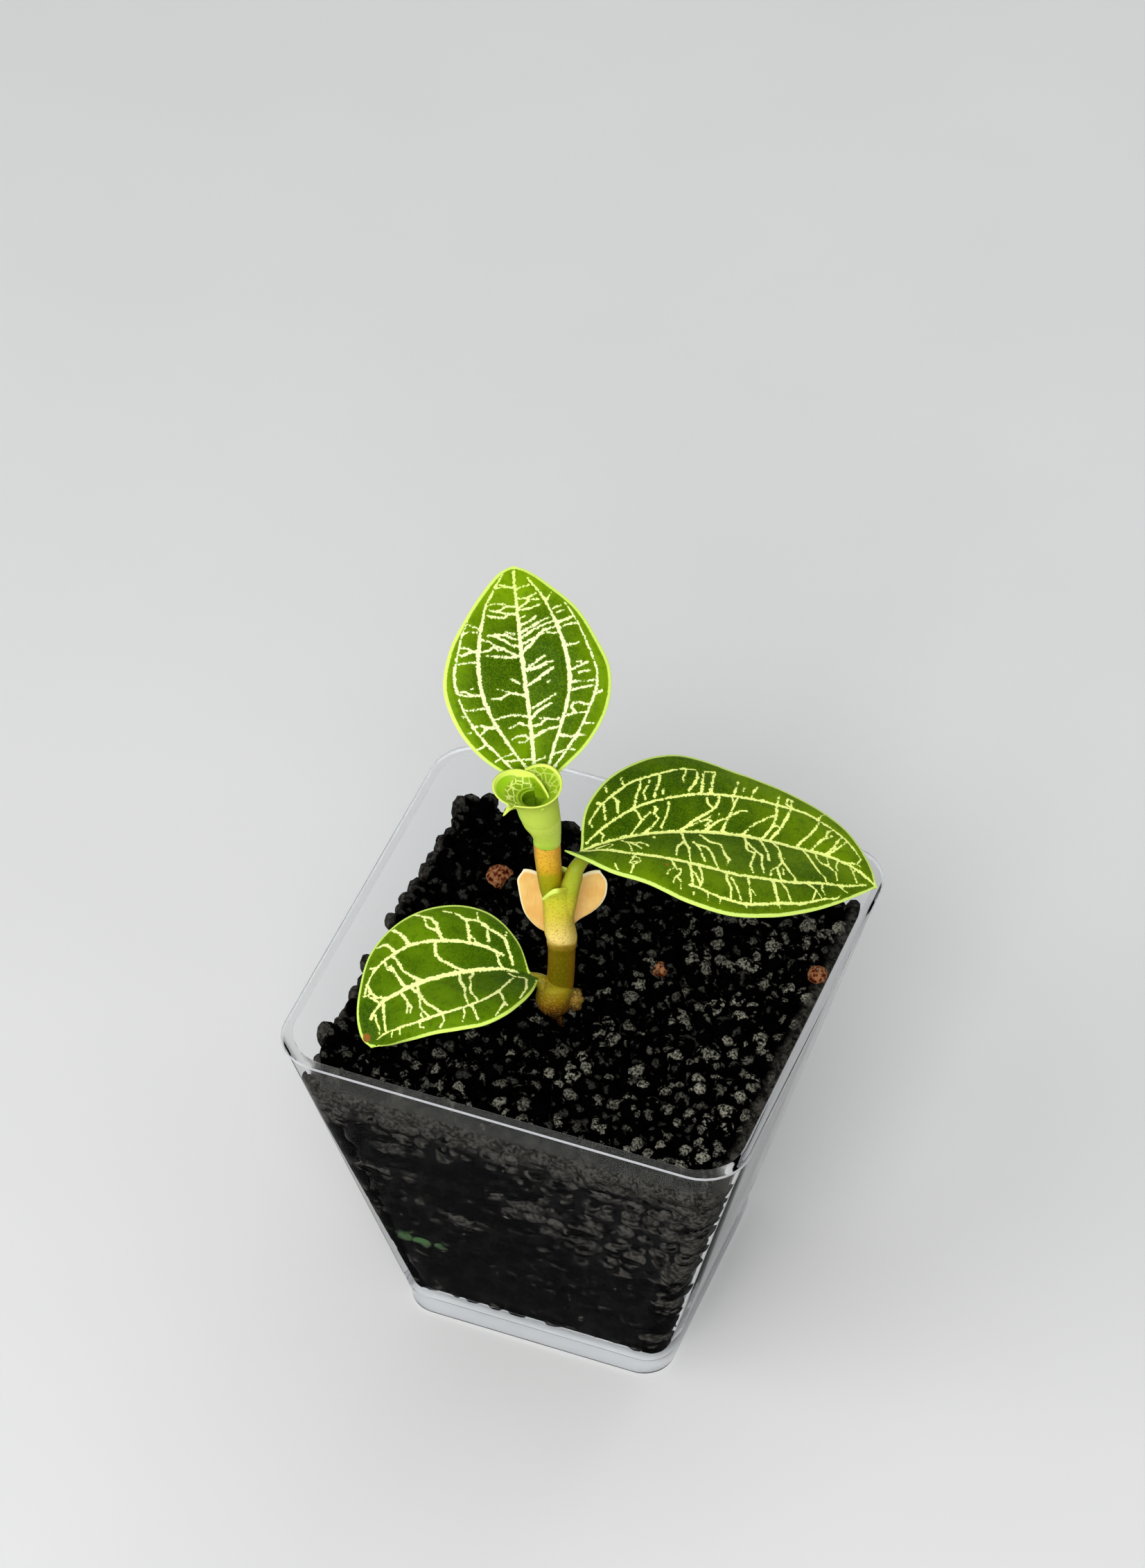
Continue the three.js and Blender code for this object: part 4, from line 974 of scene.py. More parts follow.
LEFT_CROSS = [
    (32, 79, -3, 88, 12, 89, 25, 94, 39, 94, 48, 90, 62, 89, 69),
    (36, 99, -4, 102, 15, 100, 32, 104, 50, 104, 71),
    (42, 156, -8, 159, 6, 159, 18, 158, 33, 151, 49, 146, 65),
    (32, 164, -9, 160, 5, 162, 18, 169, 32, 168, 44, 166, 57), (24, 169, 42, 174, 43, 175, 52),
    (32, 178, -11, 178, 5, 181, 14, 189, 25), (28, 179, 10, 179, 22, 185, 30),
    (30, 202, -15, 215, -1, 226, 10, 233, 15), (20, 220, -12, 226, -5, 232, 3, 239, 6),
    (32, 56, 52, 53, 65, 51, 81, 59, 90, 69, 101), (28, 51, 81, 48, 84),
    (36, 100, 71, 99, 87, 98, 102), (28, 113, 72, 114, 84, 122, 95), (34, 146, 65, 148, 78, 158, 82),
    (28, 182, 51, 188, 59, 183, 64), (20, 214, 32, 223, 37), (20, 224, 23, 235, 25),
    (26, 41, -2, 46, -11, 48, -23), (34, 92, -4, 105, -15, 116, -26, 120, -36, 116, -54),
    (36, 146, -9, 157, -21, 162, -34, 162, -50, 164, -62), (36, 170, -11, 171, -29, 171, -43),
    (22, 171, -42, 176, -47, 174, -61), (22, 171, -42, 171, -48, 175, -51),
    (30, 196, -16, 204, -26, 205, -36, 203, -43, 202, -52),
    (24, 206, -17, 207, -28, 209, -35, 204, -41), (18, 208, -37, 213, -44),
    (32, 56, -40, 56, -50, 55, -60), (36, 78, -42, 77, -52, 77, -64, 76, -78),
    (24, 71, -39, 72, -46, 77, -52), (20, 64, -72, 64, -86),
    (38, 107, -53, 109, -68, 108, -82, 112, -94, 118, -100), (20, 118, -100, 125, -110),
    (24, 109, -69, 118, -80, 118, -98), (36, 143, -63, 144, -78, 146, -87, 151, -101),
    (32, 160, -63, 161, -73, 164, -84, 172, -89), (20, 184, -60, 189, -67), (22, 38, -44, 35, -53),
]
print("left leaf:", len(LEFT_LONG), "long veins,", len(LEFT_CROSS), "cross veins")

# %% [markdown]
# The distance to a straight piece of vein is the distance to the nearest point on it. Long veins
# swell towards the middle of the leaf and thin out at its tip, and cross veins thin towards their
# free end. Only the mesh points near a vein are measured, which keeps this quick.

# %% Measuring the distance to the veins
FAR = 3.0
THINNING = 0.66


def outside_of(along, aside, route, widths, field):
    """Lowers field to the distance from a route less half its width there."""
    near = (along > route[:, 0].min() - FAR) & (along < route[:, 0].max() + FAR)
    near &= (aside > route[:, 1].min() - FAR) & (aside < route[:, 1].max() + FAR)
    place = np.stack([along[near], aside[near]], -1)
    best = field[near]
    for start, end, thick, thin in zip(route, route[1:], widths, widths[1:]):
        step = end - start
        share = np.clip((place - start) @ step / (step @ step), 0, 1)
        gap = np.linalg.norm(place - start - share[:, None] * step, axis=1)
        best = np.minimum(best, gap - (thick + (thin - thick) * share) / 2)
    field[near] = best


def long_vein_field(along, aside, veins):
    """Distance outside the long veins, each a smooth curve with widths at base, middle and tip."""
    field = np.full(along.shape, FAR)
    for widths, route in veins:
        share = np.linspace(0, 1, 6 * len(route))
        outside_of(along, aside, spline(route, share), spline(widths, share), field)
    return field


def cross_vein_field(along, aside, veins):
    """Distance outside the cross veins, straight from point to point, which thin to two thirds."""
    field = np.full(along.shape, FAR)
    for width, *numbers in veins:
        route = np.reshape(numbers, (-1, 2)) / 10
        widths = np.linspace(width / 100, width / 100 * THINNING, len(route))
        outside_of(along, aside, route, widths, field)
    return field


# %% [markdown]
# ### The blade's mesh
#
# The upper face has a fine grid, because it carries the veins. The lower face takes every second
# point, and a strip of triangles joins both along the margin. Long veins lie in shallow grooves on
# the upper face and stand out as ribs on the lower one, and the blade bulges a little between them.

# %% The blade's grid
def rim_of(rows, columns):
    """Numbers of the points round a grid's border, in order."""
    grid = np.arange(rows * columns).reshape(rows, columns)
    return np.concatenate([grid[0, :-1], grid[:-1, -1], grid[-1, :0:-1], grid[:0:-1, 0]])


def surface_normals(surface):
    """Cross product of the steps along rows and columns."""
    down = np.gradient(surface, axis=0)
    aside = np.gradient(surface, axis=1)
    return unit(np.cross(down, aside))


def blade_grid(leaf, rows, columns):
    """The blade on a grid of rows x columns, a little denser at its two ends, with its normals, its
    place on the flat leaf, and each point's distance to the nearest point of the border."""
    even = np.linspace(0, 1, rows)
    share = 0.7 * even + 0.3 * (1 - np.cos(np.pi * even)) / 2
    t, v = np.meshgrid(share, np.linspace(-1, 1, columns), indexing="ij")
    surface, aside = blade(leaf, t, v)
    border = surface.reshape(-1, 3)[rim_of(rows, columns)][::2]
    inset = np.array([np.linalg.norm(row[:, None] - border, axis=-1).min(1) for row in surface])
    return surface, surface_normals(surface), midrib_length(leaf, t), aside, inset, v


# %% The blade's thickness and relief
# The depth or height of grooves and ribs is in mm, and their spread in mm x mm. The pairs of mm say
# where a change begins and where it is full, inwards from the margin or away from a rib.
THICKNESS, EDGE_THICKNESS, TOP_FACE_DEPTH = 0.5, 0.14, 0.35
GROOVE, FINE_GROOVE, RIB = (0.1, 0.18), (0.03, 0.05), (0.16, 0.12)
PUCKER, PUCKER_ALONG, PUCKER_ASIDE, PUCKER_FROM_RIB = 0.06, 1.9, 0.9, (0.2, 1.6)
EDGE_ROUNDING, RELIEF_FROM_EDGE = (-0.1, 1.2), (0.1, 1.5)


def half_thickness(inset):
    """Half the blade's thickness: full inside, round towards the margin."""
    rounded = np.sqrt(smooth_step(*EDGE_ROUNDING, inset))
    return (EDGE_THICKNESS + (THICKNESS - EDGE_THICKNESS) * rounded) / 2


def beside(distance, form):
    """A groove's or rib's height: height x exp(-distance^2 / spread) outside the vein."""
    height, spread = form
    return height * np.exp(-np.maximum(distance, 0) ** 2 / spread)


def spot(along, aside, x, y, size):
    """A soft round spot on the flat leaf: exp(-(distance / size)^2)."""
    return np.exp(-((along - x) ** 2 + (aside - y) ** 2) / size**2)


# %% Making a blade
def make_blade(name, leaf, long_veins, cross_veins, patches, material, node):
    """Upper and lower faces, half the thickness either side of the frame's blade, joined at the rim.
    A patch makes the green lighter or darker: mm along, mm to the left, size and amount."""
    rows, columns = leaf["rows"] + 1, leaf["columns"] + 1
    surface, normals, along, aside, inset, v = blade_grid(leaf, rows, columns)
    ribs = long_vein_field(along, aside, long_veins)
    veins = np.minimum(ribs, cross_vein_field(along, aside, cross_veins))
    inner = smooth_step(*RELIEF_FROM_EDGE, inset)
    thick = half_thickness(inset)
    groove = beside(ribs, GROOVE) + beside(veins, FINE_GROOVE)
    wave = np.cos(along * PUCKER_ALONG + np.abs(aside) * PUCKER_ASIDE)
    bulge = PUCKER * wave * smooth_step(*PUCKER_FROM_RIB, ribs)
    upper_face = surface + normals * (thick - TOP_FACE_DEPTH - (groove - bulge) * inner)[..., None]
    lower_face = surface - normals * (thick + TOP_FACE_DEPTH - bulge * inner)[..., None]
    lower_face = (lower_face - normals * (beside(ribs, RIB) * inner)[..., None])[::2, ::2]
    shade = spline(leaf["bands"], np.abs(v))
    for *place, amount in patches:
        shade = shade + amount * spot(along, aside, *place)
    damage = np.zeros_like(v)
    for place in leaf["damage"]:
        damage += spot(along, aside, *place)
    low_rows, low_columns = lower_face.shape[:2]
    first = rows * columns
    top_rim, low_rim = rim_of(rows, columns), first + rim_of(low_rows, low_columns)
    start, middle, end = top_rim[::2], top_rim[1::2], np.roll(top_rim[::2], -1)
    after = np.roll(low_rim, -1)
    corners = ((middle, low_rim, start), (after, low_rim, middle), (end, after, middle))
    strip = [np.stack(triangle, -1) for triangle in corners]
    faces = [grid_quads(rows, columns)[:, ::-1], grid_quads(low_rows, low_columns, first=first), *strip]

    def both(upper_values, lower_values=None):
        """Values for the upper points, and for every second of them below."""
        lower_values = upper_values if lower_values is None else lower_values
        return np.concatenate([upper_values.ravel(), lower_values[::2, ::2].ravel()])

    values = {
        "vein": both(veins, ribs), "inset": both(inset), "shade": both(shade), "along": both(along),
        "under": both(np.zeros_like(v), np.ones_like(v)), "damage": both(damage),
    }
    points = np.concatenate([upper_face.reshape(-1, 3), lower_face.reshape(-1, 3)])
    make_piece(name, points, faces, material, "veined_leaf", node, values)


# %% [markdown]
# ### The leaf's finish
#
# Dark green lies inside, lighter green towards the margin, and a thin bright line runs along the
# edge itself. The veins are pale yellow green, with a slightly ragged border, since they are bands
# of pale cells. Noise wobbles the stored distance by a few hundredths of a millimetre to give that.
# The surface is satin with a faint sparkle, so the fine bump follows the size of the leaf's cells.

# %% The leaves' finish
def make_leaf_finish(name, greens, border, tip):
    """One finish for each leaf: the same build with the leaf's own greens. The border says how wide
    in mm and how strong the light band inside the margin is, and tip is the midrib's length."""
    dark, light, margin, vein, vein_far = (paint(*green) for green in greens)
    material, tree, shader = new_finish(
        name, roughness=0.5, specular_ior_level=0.04, subsurface_weight=0.02, subsurface_scale=0.0006)
    place = place_of(tree)
    ragged = maths(tree, "ADD", scaled(tree, noise(tree, 0.26, detail=3, vector=place), -0.27, 0.27),
                   scaled(tree, noise(tree, 0.9, detail=1, vector=place), -0.16, 0.16))
    distance = maths(tree, "ADD", read(tree, "vein"), ragged)
    inset = read(tree, "inset")
    drift = scaled(tree, noise(tree, 5, detail=2, vector=place), -0.35, 0.35)
    lightness = maths(tree, "ADD", read(tree, "shade"), drift)
    cells = noise(tree, 0.22, detail=3, vector=place)
    green = blend(tree, fade(tree, lightness, -0.1, 1.1), dark, light)
    green = tint(tree, fade(tree, cells, 0.4, 0.62), 0.3, green, light)
    dapple = noise(tree, 0.9, detail=3, vector=place)
    green = tint(tree, fade(tree, dapple, 0.5, 0.34), 0.3, green, dark)
    green = tint(tree, fade(tree, distance, 0.35, 0.0), 0.2, green, light)
    green = tint(tree, fade(tree, inset, border[0], 0.25), border[1], green, light)
    edge = maths(tree, "ADD", inset, scaled(tree, ragged, -0.3, 0.3))
    green = blend(tree, fade(tree, edge, 0.25, 0.1), green, margin)
    green = blend(tree, fade(tree, read(tree, "damage"), 0.4, 0.7), green, paint(146, 92, 38))
    pale = blend(tree, fade(tree, read(tree, "along"), tip * 0.62, tip), vein, vein_far)
    body = blend(tree, fade(tree, distance, 0.06, 0.0), green, pale)
    below = blend(tree, fade(tree, read(tree, "vein"), 0.3, -0.1), paint(138, 168, 88), light)
    feed(tree, shader, "Base Color", blend(tree, read(tree, "under"), body, below))
    bump(tree, shader, noise(tree, 0.16, detail=3, vector=place), 0.03, 0.7)
    return material


def make_leaf(side, leaf, veins, patches, greens, border):
    """Finish and blade of one leaf."""
    name = f"leaf_{side}_blade"
    finish = make_leaf_finish(f"{name}_finish", greens, border, tip=float(midrib_length(leaf, 1.0)))
    make_blade(name, leaf, *veins, patches, finish, f"leaf_{side}")


# %% Making the three blades
# The greens are the dark and the light one, the margin, and the veins at the base and at the tip.
make_leaf(
    "top", TOP_LEAF, (TOP_LONG, TOP_CROSS),
    [(4, 1.5, 3.5, 0.45), (27, 0, 4.5, 0.9), (15, -3, 4.0, -0.15), (13, 3, 4.0, -0.1), (7, 0, 3, 0.2)],
    [(50, 80, 0), (122, 160, 4), (218, 244, 110), (242, 250, 188), (228, 246, 124)], (1.4, 0.2))
make_leaf(
    "right", RIGHT_LEAF, (RIGHT_LONG, RIGHT_CROSS),
    [(24, 8, 5.5, 0.38), (33, 6, 5, 0.4), (8, -8, 4, 0.4), (29, 1, 6, 0.22), (17, -9, 6, 0.4),
     (37, 0, 5, 0.35), (27, -9, 6, 0.25), (3, -4, 3, 0.35)],
    [(36, 68, 0), (114, 146, 4), (214, 240, 116), (244, 254, 146), (240, 252, 136)], (0.9, 0.25))
make_leaf(
    "left", LEFT_LEAF, (LEFT_LONG, LEFT_CROSS),
    [(14, -9, 4.5, 0.35), (16, 8, 6, 0.3), (13, 2, 3, 0.2), (20, 1, 3, 0.15), (24, -2, 3, -0.35),
     (4, 1, 5, -0.22), (5, -8, 5, -0.15), (18, -3, 2, 0.2)],
    [(36, 68, 0), (108, 144, 6), (214, 242, 110), (244, 250, 166), (238, 250, 140)], (1.1, 0.3))

# %% [markdown]
# ## The stem
#
# The stem is fleshy and round, with a swollen ring at its node. It is a tube along a gently bent
# line: a short table gives its place and radius at some heights, and the rows between are averaged
# over a few tenths of a millimetre, so the tube has no kinks.

# %% Round tubes along a table of heights
STEM_SIDES = 72
STEM_TURNS = np.linspace(0, 2 * np.pi, STEM_SIDES, endpoint=False)[None, :]


def line_at(stations, height, reach=0.5):
    """Each column of the stations (height, ...) read at a height and averaged over reach mm."""
    stations = np.array(stations, float)
    offsets = np.linspace(-1, 1, 9) * reach
    weights = np.cos(offsets / reach * np.pi / 2.2)
    near = np.asarray(height, float)[..., None] + offsets
    heights, *columns = stations.T
    return [np.interp(near, heights, column) @ weights / weights.sum() for column in columns]


def around(across, back, radius, height, turn):
    """Points round an upright line: centre + radius (cos across + sin back)."""
    return on_plant(across + radius * np.cos(turn), back + radius * np.sin(turn), height)


def flank_values(rows, extra=0):
    """How far each point of a tube lies to the right, from -1 to 1, and 0 for some extra points."""
    values = np.broadcast_to(np.cos(STEM_TURNS), (rows, STEM_SIDES)).ravel()
    return np.concatenate([values, np.zeros(extra)])


# %% The stem's surface
STEM_ROWS = 300
STEM_STATIONS = [
    # height, across, radius
    (46.0, -0.3, 0.7), (52.6, -0.4, 0.7), (53.3, -0.5, 1.3), (54.0, -0.5, 1.75), (56.0, -0.45, 1.85),
    (58.5, 0.0, 1.8), (62.2, 0.13, 1.79), (65.2, 0.15, 1.8), (66.0, 0.15, 1.98), (66.8, 0.12, 1.98),
    (67.6, 0.1, 1.75), (70.0, -0.1, 1.5), (73.0, -0.6, 1.45), (76.0, -1.3, 1.52), (78.6, -1.55, 1.64),
    (81.9, -1.83, 1.72), (84.2, -1.94, 1.76), (84.8, -1.94, 1.7), (85.6, -1.95, 1.3), (86.5, -2.0, 1.1),
]

stem_height = np.linspace(STEM_STATIONS[0][0], STEM_STATIONS[-1][0], STEM_ROWS)[:, None]
stem_across, stem_radius = line_at(STEM_STATIONS, stem_height)
stem_points, stem_faces = closed_tube(around(stem_across, 0, stem_radius, stem_height, STEM_TURNS))
print("stem:", STEM_ROWS, "rings of", STEM_SIDES, "sides")

# %% [markdown]
# The skin runs from brown at the foot over olive, a cream ring and green to orange and lime. These
# bands of colour aren't level: on the plant's front they sit higher than on its sides, so the ramp
# of colours reads a height that leans back. Each sheath has a ramp of its own. On the stem, the
# lower sheaths and the root, painted shade darkens the skin towards both flanks.

# %% The stem's finish
BAND_LEAN = 0.7


def height_colours(tree, stops):
    """A ramp of colours over z + lean x (back - foot's back) in mm. A stop is a height and the red,
    green and blue there."""
    shift = BAND_LEAN * PLANT_FOOT @ BACK
    low, high = stops[0][0], stops[-1][0]
    height = add(tree, "ShaderNodeVectorMath", {0: place_of(tree), 1: UP + BAND_LEAN * BACK},
                 operation="DOT_PRODUCT").outputs["Value"]
    wander = scaled(tree, noise(tree, 1.4, detail=2), -0.5 * MM, 0.5 * MM)
    limits = {"Value": maths(tree, "ADD", height, wander),
              "From Min": (low + shift) * MM, "From Max": (high + shift) * MM}
    share = add(tree, "ShaderNodeMapRange", limits).outputs["Result"]
    ramp_node = add(tree, "ShaderNodeValToRGB", {0: share})
    ramp = ramp_node.color_ramp
    for end, (_, *colour) in zip(ramp.elements, (stops[0], stops[-1])):
        end.color = paint(*colour)
    for z, *colour in stops[1:-1]:
        ramp.elements.new((z - low) / (high - low)).color = paint(*colour)
    return ramp_node.outputs["Color"]


def make_stem_finish(name, stops, speckle, right, left, lip=None):
    """Fleshy skin: colours by height, a tint on each flank (its amount, red, green and blue), fine
    speckles, soft gloss, a little light let in, and a pale lip where the mesh asks for one. On the
    stem, the two lower sheaths and the root the flank tints are painted shade down the sides, and
    the pale lip is a painted highlight along a sheath's mouth."""
    material, tree, shader = new_finish(
        name, roughness=0.42, specular_ior_level=0.16, subsurface_weight=0.08, subsurface_scale=0.0008)
    colour = height_colours(tree, stops)
    flank = maths(tree, "ADD", read(tree, "flank"), scaled(tree, noise(tree, 0.9), -0.15, 0.15))
    # A tint towards each side: on the stem, the lower sheaths and the root it is painted shade.
    for (amount, *shade), starts, full in ((right, 0.3, 0.95), (left, -0.6, -0.98)):
        colour = tint(tree, fade(tree, flank, starts, full), amount, colour, paint(*shade))
    spots = maths(tree, "MULTIPLY", fade(tree, noise(tree, 0.26, detail=4), 0.48, 0.68), 0.6)
    colour = blend(tree, spots, colour, paint(*speckle))
    # Painted highlight along the sheath's mouth.
    if lip:
        colour = blend(tree, read(tree, "lip"), colour, paint(*lip))
    feed(tree, shader, "Base Color", colour)
    bump(tree, shader, noise(tree, 0.3, detail=4), 0.05, 0.6)
    return material


# The stem's flank tints are painted shade, darker and redder down both sides.
stem_finish = make_stem_finish("stem_skin", [
    (50, 30, 14, 4), (53.6, 60, 30, 6), (54.6, 112, 84, 6), (58, 106, 96, 2), (61, 96, 90, 0),
    (65.0, 106, 94, 2), (65.8, 150, 122, 30), (66.5, 236, 204, 110), (67.3, 242, 212, 116),
    (73, 120, 128, 4), (76, 140, 146, 2), (78.5, 162, 156, 6), (79.6, 212, 164, 34),
    (81, 226, 176, 48), (83.6, 220, 166, 52), (84.6, 168, 166, 44),
], speckle=(150, 110, 20), right=(0.4, 166, 100, 22), left=(0.5, 126, 70, 8))
make_piece("stem_canes", stem_points, stem_faces, stem_finish, "stem", "stem",
           {"flank": flank_values(STEM_ROWS, extra=2)})

# %% [markdown]
# ### Sheaths and leaf stalks
#
# Each leaf holds the stem with a sheath, a sleeve with a slanted mouth, and the leaf's stalk grows
# out of it. A sleeve goes up outside, round a lip and down inside, so it is a tube whose last ring
# meets the first one. Its mouth has a height for each turn round the stem. The stalk is a tapered
# tube along a curve, and it runs on under the blade as a keel that thins out along the midrib.

# %% Sleeves
LIP_WIDTH, LIP_ARC = 0.55, np.linspace(0, np.pi, 7)[1:-1]
BULGE_TURN, BULGE_SPREAD = np.radians(-35), 0.35


def close_rows(rows, sides):
    """Quads from the last ring of a tube to its first one."""
    side = np.arange(sides)
    last = (rows - 1) * sides
    return np.stack([last + side, last + (side + 1) % sides, (side + 1) % sides, side], -1)


def make_sleeve(name, stations, mouth, thickness, rows, finish, slot, node):
    """Outer wall from the foot to the mouth, half a circle for the lip, and the inner wall back to
    the foot. The stations are (height, across, radius) and sometimes a bulge, which pushes the side
    under the stalk out by bulge x exp(-(1 - cos(turn - its turn)) / spread). The mouth is a table of
    heights over the turn in degrees. The band below the mouth is marked for a painted highlight, but
    not on the stalk."""
    mouth = line_at(mouth, np.degrees(STEM_TURNS), reach=9)[0]
    foot = stations[0][0]
    flat = np.zeros(rows)
    share = np.concatenate([np.linspace(0, 1, rows), np.ones(LIP_ARC.size), np.linspace(1, 0, rows)])
    inset = np.concatenate([flat, (1 - np.cos(LIP_ARC)) / 2, flat + 1]) * thickness
    over = np.concatenate([flat, np.sin(LIP_ARC) / 2, flat]) * thickness
    share, inset, over = share[:, None], inset[:, None], over[:, None]
    wall = foot + (mouth - foot) * share
    across, radius, *bulges = line_at(stations, wall)
    from_stalk = 1 - np.cos(STEM_TURNS - BULGE_TURN)
    for bulge in bulges:
        radius = radius + bulge * np.exp(-from_stalk / BULGE_SPREAD)
    rings = around(across, 0, radius - inset, wall + over, STEM_TURNS)
    # Painted highlight: a pale band just below the mouth, kept off the stalk.
    lip = 1 - smooth_step(0.75 * LIP_WIDTH, LIP_WIDTH, (1 - share) * (mouth - foot))
    lip = lip * smooth_step(0.15, 0.4, from_stalk)
    faces = [grid_quads(len(rings), STEM_SIDES, wrap=True), close_rows(len(rings), STEM_SIDES)]
    values = {"flank": flank_values(len(rings)), "lip": lip}
    make_piece(name, rings.reshape(-1, 3), faces, finish, slot, node, values)


# %% Stalks
STALK_ROWS, STALK_SIDES = 120, 40
KEEL_SHARES, KEEL_RADII = np.array([0.04, 0.1, 0.18, 0.3, 0.45]), np.array([0.8, 0.7, 0.6, 0.45, 0.22])


def stalk(path, radii):
    """Tapered tube along a smooth curve: rings of cos level + sin over, square to the curve."""
    share = np.linspace(0, 1, STALK_ROWS)
    centre, radius = spline(path, share), spline(radii, share)
    ahead = unit(np.gradient(centre, axis=0))
    level = unit(np.cross(UP, ahead))
    over = np.cross(ahead, level)
    turn = np.linspace(0, 2 * np.pi, STALK_SIDES, endpoint=False)[None, :, None]
    ring = np.cos(turn) * level[:, None] + np.sin(turn) * over[:, None]
    return closed_tube(centre[:, None] + ring * radius[:, None, None]), ring @ ACROSS


def make_stalk(name, leaf, foot, foot_radii, reach, finish, node):
    """The stalk from its foot to the blade, and on as a keel under the blade, over a share of its
    midrib: point of the midrib - normal x 0.6 (1 + keel's radius)."""
    point, _, _, normal = midrib_frame(leaf, KEEL_SHARES * reach)
    under = point - normal * (0.6 + 0.6 * KEEL_RADII)[:, None]
    path = np.concatenate([on_plant(*np.array(foot).T), under])
    (points, faces), flank = stalk(path, [*foot_radii, *KEEL_RADII])
    values = {"flank": np.concatenate([flank.ravel(), [0, 0]]), "lip": np.zeros(len(points))}
    make_piece(name, points, faces, finish, "stem", node, values)


# %% The left leaf's sheath and stalk
# The left sheath's flank tints are painted shade down its sides.
left_skin = make_stem_finish("left_sheath_skin", [
    (53.0, 58, 26, 6), (54, 112, 70, 14), (55.2, 140, 108, 6), (56.6, 142, 122, 6),
    (57.4, 158, 144, 24), (58.3, 126, 116, 6), (60, 128, 122, 12), (62, 120, 150, 24),
], speckle=(190, 160, 70), right=(0.3, 112, 92, 4), left=(0.4, 112, 76, 6), lip=(142, 128, 20))
make_sleeve("leaf_left_sheath", [
    (53.0, -0.75, 1.0), (53.8, -0.9, 1.75), (54.9, -0.98, 2.14), (55.8, -0.97, 2.3), (57, -0.72, 2.36),
    (58.1, -0.4, 2.12), (59, -0.12, 1.88), (60, 0.05, 1.7),
], [(0, 60.0), (360, 60.0)], 0.3, 50, left_skin, "stem", "leaf_left")
make_stalk("leaf_left_stalk", LEFT_LEAF, [(-1.0, 0, 56.8), (-1.9, 0.1, 57.9), (-2.8, 0.3, 58.6)],
           [1.3, 1.15, 0.95], 1.0, left_skin, "leaf_left")

# %% The right leaf's sheath and stalk
RIGHT_MOUTH = [
    # turn in degrees, height: a long slant, low at the left and highest under the stalk
    (0, 78.9), (60, 78.4), (120, 77.2), (160, 75.3), (180, 74.4), (205, 75.2), (223, 76.0), (246, 77.0),
    (265, 77.7), (282, 78.05), (299, 78.15), (320, 78.3), (360, 78.9),
]

# The right sheath's flank tints are painted shade down its sides.
right_skin = make_stem_finish("right_sheath_skin", [
    (65.0, 106, 94, 2), (65.8, 150, 122, 30), (66.4, 236, 204, 110), (67.2, 250, 222, 130),
    (69, 240, 214, 104), (71.2, 222, 204, 66), (74, 206, 204, 50), (75.8, 166, 178, 36),
    (80.8, 134, 154, 28),
], speckle=(170, 130, 50), right=(0.45, 160, 132, 36), left=(0.3, 150, 114, 20), lip=(220, 238, 106))
make_sleeve("leaf_right_sheath", [
    (66.3, 0.15, 1.9, 0), (67.05, 0.17, 2.02, 0), (68.1, -0.06, 2.1, 0), (69.1, -0.2, 2.06, 0),
    (70.5, -0.3, 2.0, 0), (72.0, -0.3, 2.08, 0), (74.0, -0.4, 2.07, 0.25), (76.0, -0.68, 1.99, 0.7),
    (77.5, -0.88, 1.96, 0.9), (79.5, -1.1, 1.94, 0.9),
], RIGHT_MOUTH, 0.4, 64, right_skin, "stem", "leaf_right")
make_stalk("leaf_right_stalk", RIGHT_LEAF, [
    (0.45, -0.3, 71.5), (0.77, -0.6, 74.3), (1.08, -0.95, 77.0), (1.45, -0.9, 78.7), (1.98, -0.4, 80.4),
], [1.2, 1.28, 1.28, 1.2, 1.03], 0.9, right_skin, "leaf_right")

# %% The top leaf's sheath and stalk
# The top sheath's pale lip is a painted highlight along its mouth.
top_skin = make_stem_finish("top_sheath_skin", [
    (83.3, 110, 136, 26), (83.7, 152, 186, 48), (84.5, 182, 206, 74), (86.7, 186, 204, 80),
    (90.7, 190, 204, 82),
], speckle=(160, 192, 50), right=(0.35, 214, 226, 116), left=(0.8, 158, 210, 20), lip=(196, 214, 96))
make_sleeve("leaf_top_sheath", [
    (84.7, -1.93, 1.78), (85.4, -1.92, 1.77), (86.3, -2.08, 1.95), (87.2, -2.32, 2.18),
    (88, -2.6, 2.44), (89, -2.8, 2.6), (90.2, -2.95, 2.45),
], [(0, 90.0), (360, 90.0)], 0.3, 60, top_skin, "new_leaf", "leaf_top")
make_stalk("leaf_top_stalk", TOP_LEAF, [(-2.1, 1.2, 86), (-2.5, 2.3, 88), (-3.2, 3.2, 89.6)],
           [0.6, 0.85, 0.9], 1.0, top_skin, "leaf_top")

# %% [markdown]
# ## The rolled leaf
#
# The newest leaf is a funnel. Its cross section is a spiral that winds a turn and a half: it starts
# as a fold inside the mouth, comes round the left as a wide bowl, and ends on its own back. The
# outer face follows the funnel's throat. The inner face runs together to a narrow hole, since the
# leaf's deeper layers fill the throat. The leaf's point stands out at the front left.

